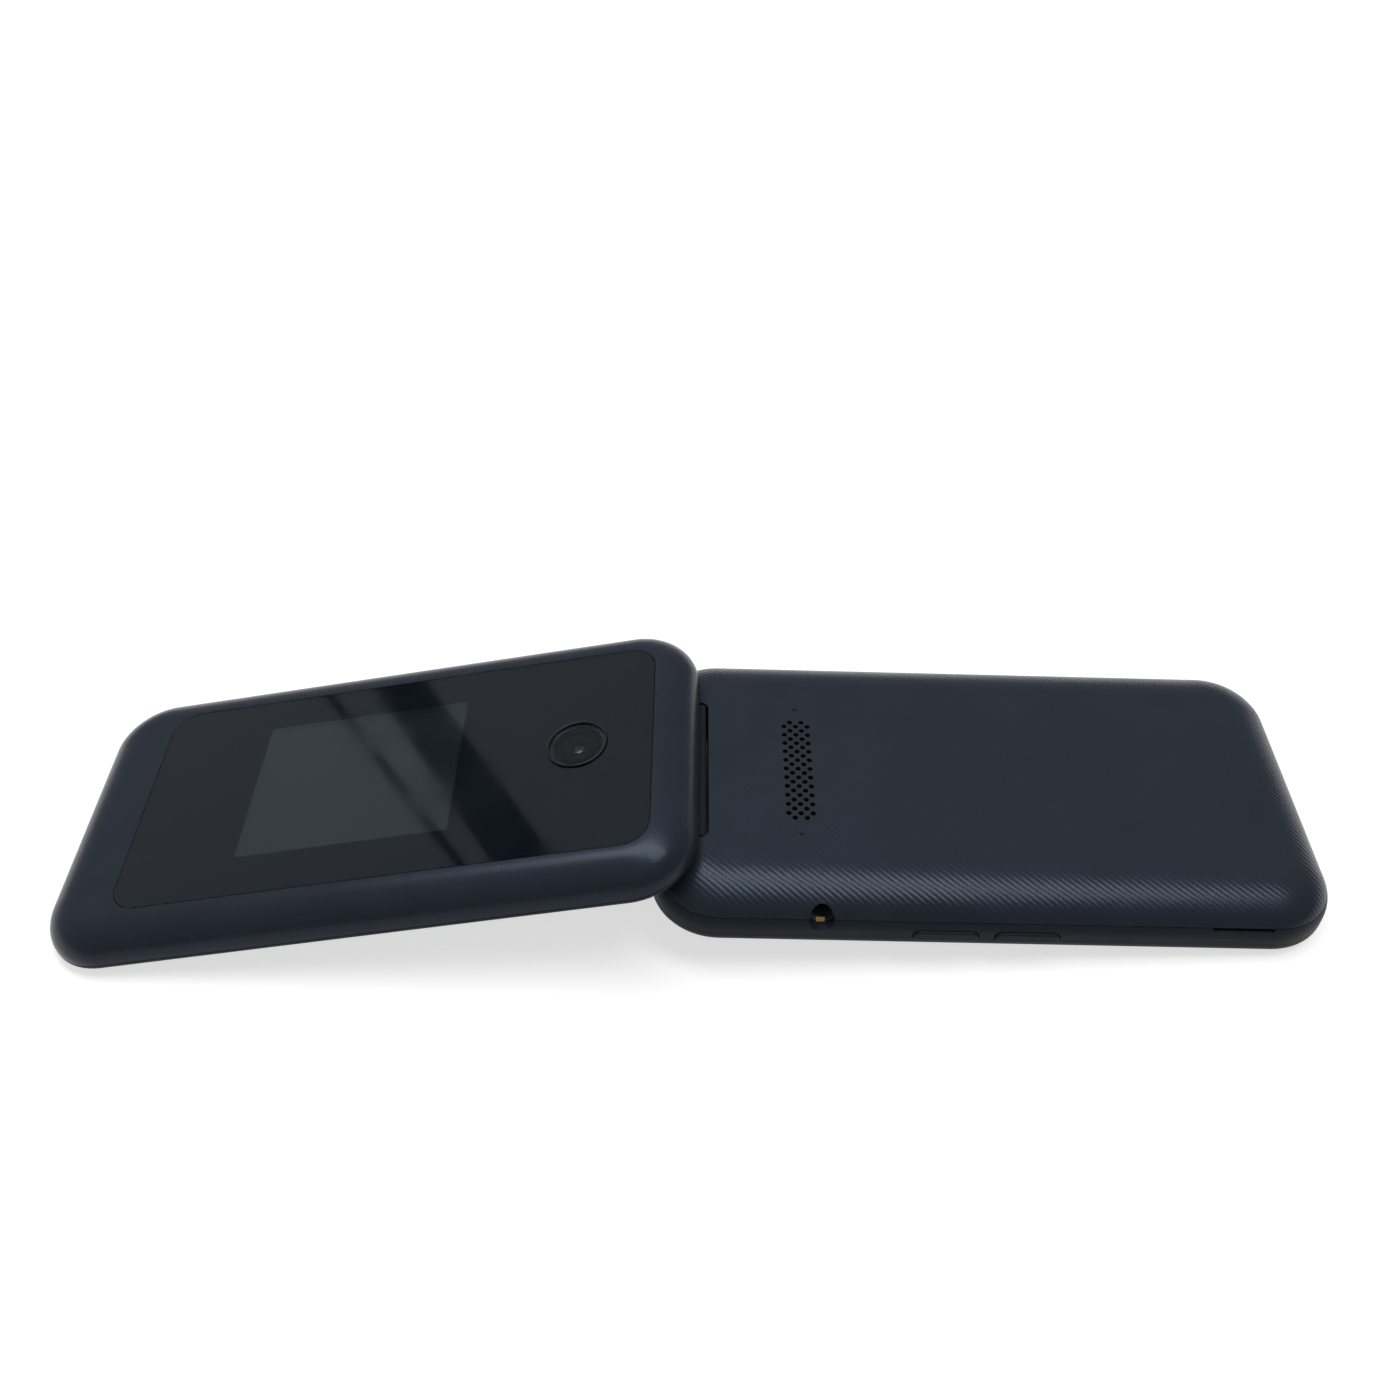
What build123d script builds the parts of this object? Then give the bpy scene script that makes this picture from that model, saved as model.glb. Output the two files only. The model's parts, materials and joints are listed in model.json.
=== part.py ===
from build123d import *

import os
from math import asin, atan2, cos, degrees, hypot, radians, sin, sqrt

# Flip phone, opened to its stop and lying face down like a low tent: the free ends of both
# halves stand on the surface and the hinge is up in the air between them.
#
# Each half is modelled flat in a frame of its own, in millimetres. In the base's frame x runs
# from the hinge axis to the base's free end and z points out of its back. In the lid's frame x
# runs from the hinge axis to the lid's free end and z points out of the lid's outer face. The
# last section lays both halves down in their resting place.

# Sizes of the two case halves
free_end = 102.0  # hinge axis to the free end of either half
hinge_end = 4.4  # hinge axis to the hinge end of either half
body_width = 56.3
base_thickness = 9.6
lid_thickness = 6.6
face_gap = 0.4  # between the two inner faces when the phone is shut
axis_to_back = 4.7  # hinge axis to the base's back
open_angle = 167.0  # from shut to the stop

# Curves of the case
shoulder_width = 8.7  # curved shoulder round the base's back
shoulder_height = 6.0
flat_corner = 2.0  # corner radius that the shoulder leaves on the flat back
lid_shoulder_width = 6.3
lid_shoulder_height = 5.3
base_edge = 2.0  # rounding of the keypad face's edge
lid_edge = 1.1  # rounding of the lid's inner face

# Walls and seams
cover_wall = 1.1  # rear cover
cover_lift = 33.0  # rise of the way the rear cover comes off, past the open lid, from its back
housing_wall = 1.6  # side walls of the front housing
keypad_plate = 1.2  # front wall that the keys stand in
lid_wall = 1.3  # side walls of the lid's outer cover
lid_plate = 1.2  # inner face of the lid
seam_depth = 4.0  # rear cover's seam, below the back face
groove_depth = 0.12  # fine groove along each seam
groove_width = 0.12
fit_gap = 0.1  # between parts that drop into each other
past = 1.0  # how far a cut runs past what it cuts

# Hinge
notch_width = 30.0  # gap between the base's two hinge ears
notch_reach = 4.5  # hinge axis to the notch's edge in the rear cover
notch_corner = 1.3
knuckle_gap = 0.4  # at each end of the lid's knuckle
knuckle_clear = 0.3  # between the knuckle and the notch's edge
tail_set_back = 0.05  # face of the knuckle's tail, behind the knuckle's outermost line
tail_drop = 0.15  # top of the tail below the base's back when open
tail_round = 0.5
neck_front = 3.6  # knuckle's neck, towards the lid's free end
ear_radius = 2.55
ear_length = 5.6
hinge_bore = 1.9  # bore of either ear
hinge_bore_depth = 5.0
pin_radius = 1.3
pin_clearance = 0.05
pin_in_knuckle = 4.4
pin_in_ear = 4.2
pin_flat = 0.9  # flat of the pins' keyed half, from the axis
flex_bore = 3.1  # hollow of the knuckle for the rolled flex
flex_width = 14.0
flex_radius = 2.2
flex_thickness = 0.16
flex_slot = 1.0
flex_roll = 310  # degrees that the ribbon winds round the axis

# Loudspeaker grille: round holes in staggered columns
grille_x = 19.1
grille_columns = 5
grille_rows = 11  # in every second column; the columns between have one more
grille_column_pitch = 0.965
grille_row_pitch = 1.94
grille_hole = 0.45
nub_spread = 13.9
nub_radius = 0.4
nub_height = 0.25
nub_taper = 30

# Near side of the base
jack_x = 21.7
jack_bore = 1.75
jack_mouth_radius = 1.95  # of the opening in the case
jack_depth = 12.2
jack_socket_width = 6.2
jack_socket_length = 13.4
jack_contact_width = 1.4
jack_contact_slope = (0.15, 0.65)  # where its slanting face starts and ends, from the bore's mouth
jack_contact_length = 0.95
jack_contact_rise = 0.15  # of its top above the bore's wall
volume_x = (40.8, 53.3)
volume_length = 9.9
volume_height = 2.0
volume_level = 3.0  # centre of the volume keys, behind the keypad face
volume_proud = 0.35
volume_travel = 0.4
pry_margin = 15.95  # fingernail notch's middle, from the free end
pry_length = 9.4
pry_height = 0.55
pry_depth = 0.8

# Keypad
key_gap = 0.15  # round every key cap
key_proud = 0.15
key_travel = 0.35
key_flange = 0.6
key_flange_rim = 0.7
key_corner = 2.2
key_round = 0.35
finger_dot_size = (2.4, 0.7)  # raised bar on key 5
finger_dot_height = 0.12
number_row_x = 49.6
number_row_gap = 1.6  # between the caps of neighbouring rows
keypad_margin = 15.8  # last row's middle, from the free end
number_column_pitch = 16.6
number_width = 15.0
nav_x = 22.6
nav_radius = 10.2
ok_radius = 4.7
side_key_y = 17.4
soft_length = 16.0
side_key_width = 14.2
call_row_x = 38.9
call_length = 7.6

# Circuit board and what it carries
board_thickness = 0.8
board_gap = 1.5  # keypad plate to the board
dome_sheet_thickness = 0.15
dome_radius = 2.2
dome_height = 0.1
dome_taper = 20
dome_sheet_margin = 8.4  # from the free end
board_start = 8.0
board_margin = 3.4  # from the free end
board_width = 46.6
board_corner = 5.0
big_can_start = 44.0  # two shield cans on the board, end to end
big_can_margin = 4.6  # from the board's end
big_can_gap = 2.0
big_can_width = 30.0
small_can_places = ((36.0, 12.0), (36.0, -14.0))
small_can_size = (9.0, 8.0)
can_corner = 1.0
chip_room = 0.7  # board to the chassis floor
chassis_floor = 0.6
chassis_rim = 1.0
chassis_rim_height = 1.5
bay_wall = 0.9
bay_height = 2.8  # walls round the battery and the loudspeaker
bay_corner = 1.0
boss_radius = 1.45
screw_radius = 0.6
screw_head_radius = 1.35
screw_head_height = 0.6
base_screw_x = ((10.6, 20.2), (32.9, 22.7), (free_end - 7.4, 19.4))  # and on the other side

# What sits in the chassis
battery_start = 43.0
battery_margin = 10.0  # from the free end
battery_width = 39.0
battery_corner = 1.5
battery_round = 1.0
battery_pad_height = 1.2
battery_pad_depth = 0.2
speaker_length = 11.6
speaker_width = 24.0
speaker_height = 3.2
speaker_face_rim = 2.0
speaker_face_depth = 0.4
mesh_thickness = 0.3
motor_place = (33.2, 16.4)
motor_radius = 4.0
motor_height = 2.6
motor_round = 0.3
sim_place = (33.6, -2.0)
sim_length = 9.6
sim_width = 13.2
sim_height = 1.4
contact_block_length = 2.2
contact_block_width = 10.0
contact_count = 3
contact_pitch = 2.6
blade_height = 0.9
blade_slot_height = 1.4
usb_width = 7.6
usb_height = 2.5
usb_length = 5.6
usb_shell = 0.3
usb_level = 3.3  # centre of the socket, behind the keypad face
mic_place = (free_end - 4.8, 13.5)
mic_size = (2.4, 3.2)
mic_corner = 0.3

# Lid
glass_start = 2.1
glass_margin = 12.8  # from the free end
glass_width = 43.4
glass_corner = 4.6
glass_thickness = 0.7
tape_thickness = 0.1  # black adhesive film that frames and holds each glass
glass_gap = 0.12
glass_ledge = 0.7  # cover under the glass
window_start = 34.7
window_end = 70.1
window_width = 28.9
view_y = -0.8  # outer display and camera sit a little off the middle of the glass
outer_display_rim = 3.2
outer_display_thickness = 0.95
display_corner = 0.8
window_margin = 0.5  # of the cover's opening round the window
camera_x = 14.55
ring_radius = 5.05
ring_wall = 0.4
ring_lip = 0.5
ring_proud = 0.35
camera_window_thickness = 0.3
camera_barrel = 3.1
camera_block = 8.6
camera_can_corner = 0.6
camera_pupil = 1.1
camera_cone = 150  # angle of the black cone round the lens
lens_depth = 1.0  # bottom of the lens below the barrel's top
lens_height = 0.25  # at the middle of the lens
screen_start = 17.6
screen_margin = 9.6  # from the free end
screen_width = 48.6
screen_corner = 2.6
screen_border = (8.6, 2.7)  # inner display's view, inside the glass edge
inner_display_thickness = 1.8
inner_display_margin = (6.0, 0.8)  # of the display's frame round its view
lid_board_thickness = 0.6
lid_board_start = 5.0
lid_board_margin = 14.0  # from the free end
lid_board_width = 37.0
lid_board_corner = 2.0
earpiece_margin = 5.7  # from the free end
earpiece_slot = 9.0
earpiece_slot_width = 1.3
earpiece_length = 4.6
earpiece_width = 12.0
earpiece_height = 2.0
earpiece_corner = 1.0
lid_screw_x = (8.8, free_end - 4.1)
lid_screw_y = 21.0
cap_radius = 1.9
cap_thickness = 0.6
cap_proud = 0.25
cap_round = 0.12
lid_boss_height = 2.6
lid_boss_radius = 2.7

# Places that follow the free end
pry_x = free_end - pry_margin
number_row_pitch = (free_end - keypad_margin - number_row_x) / 3
number_length = number_row_pitch - number_row_gap  # along the phone
dome_sheet_end = free_end - dome_sheet_margin
board_end = free_end - board_margin
battery_end = free_end - battery_margin
battery_length = battery_end - battery_start
glass_end = free_end - glass_margin
screen_end = free_end - screen_margin
lid_board_end = free_end - lid_board_margin
earpiece_x = free_end - earpiece_margin

# Levels in the base's frame
axis_depth = base_thickness - axis_to_back  # hinge axis behind the keypad face
front = -axis_depth
back = axis_to_back
seam = back - seam_depth
plate_back = front + keypad_plate
board_front = plate_back + board_gap
board_back = board_front + board_thickness
floor_front = board_back + chip_room
floor_back = floor_front + chassis_floor
cover_inside = back - cover_wall
rim_top = floor_back + chassis_rim_height
barrel_radius = axis_depth  # rounds the base's hinge end, clear of the turning lid

# Levels in the lid's frame
lid_inner = axis_depth + face_gap
lid_outer = lid_inner + lid_thickness
lid_seam = lid_outer - lid_shoulder_height
lid_plate_back = lid_inner + lid_plate
glass_bed = lid_outer - glass_thickness - tape_thickness
ledge_inside = glass_bed - glass_ledge
inner_display_top = lid_plate_back + inner_display_thickness
lid_board_top = inner_display_top + fit_gap + lid_board_thickness
lid_rim_height = lid_boss_height - lid_plate  # rim that locates the lid's outer cover

plan_corner = shoulder_width + flat_corner
stop_tilt = 180 - open_angle
half_notch = notch_width / 2
half_knuckle = half_notch - knuckle_gap
knuckle_radius = notch_reach - knuckle_clear
housing_side = body_width / 2 - housing_wall
base_screw_places = [(x, side * y) for x, y in base_screw_x for side in (1, -1)]
lid_screw_places = [(x, side * lid_screw_y) for x in lid_screw_x for side in (1, -1)]


def outline(inset=0.0):
    """Plan outline that both halves share, drawn in by an inset."""
    with BuildSketch() as plan:
        with Locations(((free_end - hinge_end) / 2, 0)):
            RectangleRounded(
                free_end + hinge_end - 2 * inset, body_width - 2 * inset, plan_corner - inset
            )
    return plan.sketch


def shoulder_inset(depth, width, height):
    """How far a curved shoulder has drawn in at a depth below the face it rounds."""
    rise = max(1 - depth / height, 0)
    return width * (1 - sqrt(1 - rise**2))


def rounded_half(bottom, top, width, height, inset=0.0):
    """Straight-sided slab on the shared outline, with an elliptical shoulder under its top."""
    with BuildPart() as slab:
        extrude(outline(inset).moved(Location((0, 0, bottom))), amount=top - bottom)
        rim = outline(inset).moved(Location((0, 0, top))).wire()
        along = rim % 0
        inward = Vector(0, 0, 1).cross(along)
        with BuildSketch(Plane(origin=rim @ 0, x_dir=inward, z_dir=along)) as waste:
            with BuildLine():
                EllipticalCenterArc((width, -height), width, height, start_angle=90, arc_size=90)
                Polyline((0, -height), (-past, -height), (-past, past), (width, past), (width, 0))
            make_face()
        sweep(waste.sketch, path=rim, mode=Mode.SUBTRACT)
    return slab.part


def seam_ring(level, inset):
    """Fine groove round a case half, centred on a level where the side has drawn in by an inset."""
    with BuildPart() as ring:
        lift = Location((0, 0, level - groove_width / 2))
        extrude(outline(-past).moved(lift), amount=groove_width)
        extrude(outline(inset + groove_depth).moved(lift), amount=groove_width, mode=Mode.SUBTRACT)
    return ring.part


def tail_point(x, z):
    """A point of the base's frame, with the phone open, as the lid's frame has it."""
    turn = radians(stop_tilt)
    return (-x * cos(turn) - z * sin(turn), -x * sin(turn) + z * cos(turn))


# The base's outer form, before it is cut at the seam
with BuildPart() as base_form:
    add(rounded_half(front, back, shoulder_width, shoulder_height))
    fillet(base_form.faces().sort_by(Axis.Z)[0].edges(), base_edge)
    with BuildSketch(Plane.XZ) as barrel_end:
        Circle(barrel_radius)
        with Locations((free_end / 2 + past, 0)):
            Rectangle(free_end + 2 * past, 2 * base_thickness)
    extrude(amount=body_width, both=True, mode=Mode.INTERSECT)
    seam_inset = shoulder_inset(seam_depth, shoulder_width, shoulder_height)
    add(seam_ring(seam, seam_inset), mode=Mode.SUBTRACT)
    # Mouth of the audio jack, halved by the seam
    with BuildSketch(Plane.XZ.offset(body_width / 2 - shoulder_width)) as jack_mouth:
        with Locations((jack_x, seam)):
            Circle(jack_mouth_radius)
    extrude(amount=shoulder_width + past, mode=Mode.SUBTRACT)

# The lid's outer form
with BuildPart() as lid_form:
    add(rounded_half(lid_inner, lid_outer, lid_shoulder_width, lid_shoulder_height))
    fillet(lid_form.faces().sort_by(Axis.Z)[0].edges(), lid_edge)
    add(seam_ring(lid_seam, 0), mode=Mode.SUBTRACT)

# Rear cover: a thin shell that wraps over the base's sides down to the seam
with BuildPart() as rear_cover:
    add(base_form.part)
    split(bisect_by=Plane.XY.offset(seam), keep=Keep.TOP)
    add(
        rounded_half(
            front,
            cover_inside,
            shoulder_width - cover_wall,
            shoulder_height - cover_wall,
            cover_wall,
        ),
        mode=Mode.SUBTRACT,
    )
    # Rounded notch that shows the lid's knuckle
    with BuildSketch(Plane.XY.offset(back + past)) as cover_notch:
        with Locations((notch_reach - plan_corner, 0)):
            RectangleRounded(2 * plan_corner, notch_width, notch_corner)
    extrude(amount=-base_thickness, mode=Mode.SUBTRACT)
    # Room for the hinge ears, open the way that the cover comes off
    with BuildSketch(Plane.XZ) as ear_room:
        Circle(ear_radius + fit_gap / 2)
        with Locations((-ear_radius * cos(radians(cover_lift)), -ear_radius * sin(radians(cover_lift)))):
            Rectangle(2 * ear_radius, 2 * ear_radius + fit_gap, rotation=cover_lift)
    extrude(amount=half_notch + ear_length + fit_gap, both=True, mode=Mode.SUBTRACT)
    # Loudspeaker grille
    with BuildSketch(Plane.XY.offset(back + past)) as grille:
        for column in range(grille_columns):
            column_x = grille_x + (column - (grille_columns - 1) / 2) * grille_column_pitch
            with Locations((column_x, 0)):
                with GridLocations(0, grille_row_pitch, 1, grille_rows + column % 2):
                    Circle(grille_hole)
    extrude(amount=-2 * cover_wall, mode=Mode.SUBTRACT)
    # Two tiny nubs that keep the grille off the table
    with BuildSketch(Plane.XY.offset(back)) as nubs:
        with Locations((grille_x, nub_spread), (grille_x, -nub_spread)):
            Circle(nub_radius)
    extrude(amount=nub_height, taper=nub_taper)
rear_cover.part.label = "rear_cover"

# Keys: name, centre, length along the phone, width
number_names = ("1", "2", "3", "4", "5", "6", "7", "8", "9", "star", "0", "hash")
keys = []
for place, name in enumerate(number_names):
    row, column = divmod(place, 3)
    key_x = number_row_x + row * number_row_pitch
    keys.append(("key_" + name, key_x, (1 - column) * number_column_pitch, number_length, number_width))
keys.append(("soft_left", nav_x, side_key_y, soft_length, side_key_width))
keys.append(("soft_right", nav_x, -side_key_y, soft_length, side_key_width))
keys.append(("call_key", call_row_x, number_column_pitch, call_length, number_width))
keys.append(("clear_key", call_row_x, 0, call_length, number_width))
keys.append(("end_key", call_row_x, -number_column_pitch, call_length, number_width))


def key_outline(x, y, length, width, grow=0.0):
    """Rounded oblong of a key cap, grown by a margin."""
    with BuildSketch() as cap:
        with Locations((x, y)):
            RectangleRounded(length + 2 * grow, width + 2 * grow, key_corner + grow)
    return cap.sketch


def soft_outline(side, grow=0.0):
    """Soft key: the oblong beside the navigation ring, with a bay cut out for the ring."""
    with BuildSketch() as cap:
        add(key_outline(nav_x, side * side_key_y, soft_length, side_key_width, grow))
        with Locations((nav_x, 0)):
            Circle(nav_radius + 2 * key_flange_rim + 4 * key_gap - grow, mode=Mode.SUBTRACT)
    return cap.sketch


def cap_outline(key, grow=0.0):
    """Outline of any keypad key."""
    name, x, y, length, width = key
    if name == "soft_left":
        return soft_outline(1, grow)
    if name == "soft_right":
        return soft_outline(-1, grow)
    return key_outline(x, y, length, width, grow)


# Front housing: keypad plate, side walls and the two hinge ears, moulded in one
with BuildPart() as front_housing:
    add(base_form.part)
    split(bisect_by=Plane.XY.offset(seam), keep=Keep.BOTTOM)
    extrude(
        outline(housing_wall).moved(Location((0, 0, plate_back))),
        amount=base_thickness,
        mode=Mode.SUBTRACT,
    )
    # Wall round the hinge notch
    with BuildSketch(Plane.XY.offset(plate_back)) as notch_wall:
        with Locations(((notch_reach + bay_wall - hinge_end) / 2 + housing_wall / 2, 0)):
            Rectangle(
                notch_reach + bay_wall + hinge_end - housing_wall, notch_width + 2 * bay_wall
            )
    extrude(amount=seam - plate_back)
    # Ears that hold the hinge, closed at their outer ends
    with BuildSketch(Plane.XZ.offset(-half_notch - ear_length)) as ear:
        Circle(ear_radius)
        with Locations((0, plate_back / 2)):
            Rectangle(2 * ear_radius, -plate_back)
    extrude(amount=notch_width + 2 * ear_length)
    # Bosses for the chassis screws
    with BuildSketch(Plane.XY.offset(plate_back)) as bosses:
        with Locations(*base_screw_places):
            Circle(boss_radius)
    extrude(amount=floor_front - plate_back)
    with BuildSketch(Plane.XY.offset(floor_front)) as pilots:
        with Locations(*base_screw_places):
            Circle(screw_radius)
    extrude(amount=plate_back - floor_front, mode=Mode.SUBTRACT)
    # Notch for the lid's knuckle, open at the hinge end, and the ears' bores
    with BuildSketch(Plane.XY.offset(front - past)) as knuckle_notch:
        with Locations((notch_reach - plan_corner, 0)):
            Rectangle(2 * plan_corner, notch_width)
    extrude(amount=2 * base_thickness, mode=Mode.SUBTRACT)
    with BuildSketch(Plane.XZ.offset(-half_notch - hinge_bore_depth)) as ear_bore:
        Circle(hinge_bore)
    extrude(amount=notch_width + 2 * hinge_bore_depth, mode=Mode.SUBTRACT)
    # Openings for the keys
    for key in keys:
        extrude(
            cap_outline(key, key_gap).moved(Location((0, 0, front - past))),
            amount=keypad_plate + past,
            mode=Mode.SUBTRACT,
        )
    with BuildSketch(Plane.XY.offset(front - past)) as nav_opening:
        with Locations((nav_x, 0)):
            Circle(nav_radius + key_gap)
    extrude(amount=keypad_plate + past, mode=Mode.SUBTRACT)
    # Openings for the volume keys in the near side
    with BuildSketch(Plane.XZ.offset(housing_side - past)) as volume_openings:
        with Locations(*[(x, front + volume_level) for x in volume_x]):
            SlotOverall(volume_length + 2 * key_gap, volume_height + 2 * key_gap)
    extrude(amount=housing_wall + 2 * past, mode=Mode.SUBTRACT)
    # Fingernail notch under the rear cover's seam
    with BuildSketch(Plane.XY.offset(seam)) as pry_notch:
        with Locations((pry_x, -body_width / 2 + seam_inset)):
            RectangleRounded(pry_length, 2 * pry_depth, pry_depth / 2)
    extrude(amount=-pry_height, mode=Mode.SUBTRACT)
    # Mouth of the charging socket and the microphone's port
    with BuildSketch(Plane.YZ.offset(free_end - housing_wall - past)) as usb_mouth:
        with Locations((0, front + usb_level)):
            RectangleRounded(usb_width + fit_gap, usb_height + fit_gap, usb_height / 3)
    extrude(amount=housing_wall + 2 * past, mode=Mode.SUBTRACT)
    with BuildSketch(Plane.XY.offset(front - past)) as mic_port:
        with Locations(mic_place):
            Circle(screw_radius)
    extrude(amount=keypad_plate + past, mode=Mode.SUBTRACT)
front_housing.part.label = "front_housing"

base_pieces = [rear_cover.part, front_housing.part]
lid_pieces = []

# Keypad keys: a rounded cap in the plate, a flange behind it and a plunger over its dome
flange_front = plate_back + fit_gap / 2
plunger_top = board_front - dome_sheet_thickness - dome_height - key_travel - fit_gap / 2
for key in keys:
    name, key_x, key_y, length, width = key
    with BuildPart() as keypad_key:
        extrude(
            cap_outline(key).moved(Location((0, 0, front - key_proud))),
            amount=flange_front - front + key_proud,
        )
        fillet(keypad_key.faces().sort_by(Axis.Z)[0].edges(), key_round)
        extrude(
            cap_outline(key, key_flange_rim).moved(Location((0, 0, flange_front))),
            amount=key_flange,
        )
        with BuildSketch(Plane.XY.offset(flange_front + key_flange)) as plunger:
            with Locations((key_x, key_y)):
                Circle(dome_radius / 2)
        extrude(amount=plunger_top - flange_front - key_flange)
        if name == "key_5":
            # Raised dot that a thumb can feel
            with BuildSketch(Plane.XY.offset(front - key_proud)) as finger_dot:
                with Locations((key_x + length / 3, key_y)):
                    SlotOverall(*finger_dot_size, rotation=90)
            extrude(amount=-finger_dot_height)
    keypad_key.part.label = name
    base_pieces.append(keypad_key.part)

# Navigation ring and the confirm key in its middle
with BuildPart() as nav_ring:
    with BuildSketch(Plane.XY.offset(front - key_proud)) as ring_cap:
        with Locations((nav_x, 0)):
            Circle(nav_radius)
            Circle(ok_radius + key_gap, mode=Mode.SUBTRACT)
    extrude(amount=flange_front - front + key_proud)
    fillet(nav_ring.faces().sort_by(Axis.Z)[0].edges(), key_round)
    with BuildSketch(Plane.XY.offset(flange_front)) as ring_flange:
        with Locations((nav_x, 0)):
            Circle(nav_radius + key_flange_rim)
            Circle(ok_radius + key_flange_rim + 2 * key_gap, mode=Mode.SUBTRACT)
    extrude(amount=key_flange)
    with BuildSketch(Plane.XY.offset(flange_front + key_flange)) as ring_plungers:
        with Locations((nav_x, 0)):
            with PolarLocations((nav_radius + ok_radius) / 2 + key_gap, 4):
                Circle(dome_radius / 2)
    extrude(amount=plunger_top - flange_front - key_flange)
nav_ring.part.label = "nav_ring"

# Its flange lies behind the ring's, clear of it when the ring is pressed
ok_flange_front = flange_front + key_travel + fit_gap / 2
with BuildPart() as ok_key:
    with BuildSketch(Plane.XY.offset(front - key_proud)) as ok_cap:
        with Locations((nav_x, 0)):
            Circle(ok_radius)
    extrude(amount=plunger_top - front + key_proud)
    fillet(ok_key.faces().sort_by(Axis.Z)[0].edges(), key_round)
    with BuildSketch(Plane.XY.offset(ok_flange_front)) as ok_flange:
        with Locations((nav_x, 0)):
            Circle(ok_radius + key_flange_rim - key_gap)
    extrude(amount=plunger_top - ok_flange_front)
ok_key.part.label = "ok_key"

# Volume keys: slide in the near side wall, each with a flange inside it
volume_level_z = front + volume_level
for place, name in zip(volume_x, ("volume_up", "volume_down")):
    with BuildPart() as volume_key:
        with BuildSketch(Plane.XZ.offset(housing_side - fit_gap / 2)) as volume_cap:
            with Locations((place, volume_level_z)):
                SlotOverall(volume_length, volume_height)
        extrude(amount=housing_wall + fit_gap / 2 + volume_proud)
        fillet(volume_key.faces().sort_by(Axis.Y)[0].edges(), key_round)
        with BuildSketch(Plane.XZ.offset(housing_side - fit_gap / 2 - key_flange)) as volume_flange:
            with Locations((place, volume_level_z)):
                SlotOverall(volume_length + key_flange_rim, volume_height + key_flange_rim)
        extrude(amount=key_flange)
    volume_key.part.label = name
    base_pieces.append(volume_key.part)

# Dome sheet: a film with one shallow metal dome behind each key
with BuildPart() as dome_sheet:
    with BuildSketch(Plane.XY.offset(board_front - dome_sheet_thickness)) as film:
        with Locations(((board_start + dome_sheet_end) / 2, 0)):
            RectangleRounded(dome_sheet_end - board_start, board_width - 2, board_corner / 2)
        with Locations(*base_screw_places):
            Circle(boss_radius + 2 * fit_gap, mode=Mode.SUBTRACT)
    extrude(amount=dome_sheet_thickness)
    with BuildSketch(Plane.XY.offset(board_front - dome_sheet_thickness)) as domes:
        with Locations((nav_x, 0), *[(key[1], key[2]) for key in keys]):
            Circle(dome_radius)
        with Locations((nav_x, 0)):
            with PolarLocations((nav_radius + ok_radius) / 2 + key_gap, 4):
                Circle(dome_radius)
    extrude(amount=-dome_height, taper=dome_taper)
dome_sheet.part.label = "dome_sheet"

# Main circuit board, notched round the bosses and the charging socket
usb_back = free_end - housing_wall - usb_length
with BuildPart() as main_board:
    with BuildSketch(Plane.XY.offset(board_front)) as board_outline:
        with Locations(((board_start + board_end) / 2, 0)):
            RectangleRounded(board_end - board_start, board_width, board_corner)
        with Locations(*base_screw_places):
            Circle(boss_radius + 2 * fit_gap, mode=Mode.SUBTRACT)
        with Locations((usb_back + usb_length / 2, 0)):
            Rectangle(usb_length + past, usb_width + 2 * usb_shell, mode=Mode.SUBTRACT)
    extrude(amount=board_thickness)
    # Shield cans and chips between the board and the chassis
    big_can_end = board_end - big_can_margin
    big_can_length = (big_can_end - big_can_start - big_can_gap) / 2
    with BuildSketch(Plane.XY.offset(board_back)) as shield_cans:
        with Locations(((big_can_start + big_can_end) / 2, 0)):
            with GridLocations(big_can_length + big_can_gap, 0, 2, 1):
                RectangleRounded(big_can_length, big_can_width, can_corner)
        with Locations(*small_can_places):
            Rectangle(*small_can_size)
    extrude(amount=chip_room - fit_gap)
main_board.part.label = "main_board"

base_pieces += [nav_ring.part, ok_key.part, dome_sheet.part, main_board.part]

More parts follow.
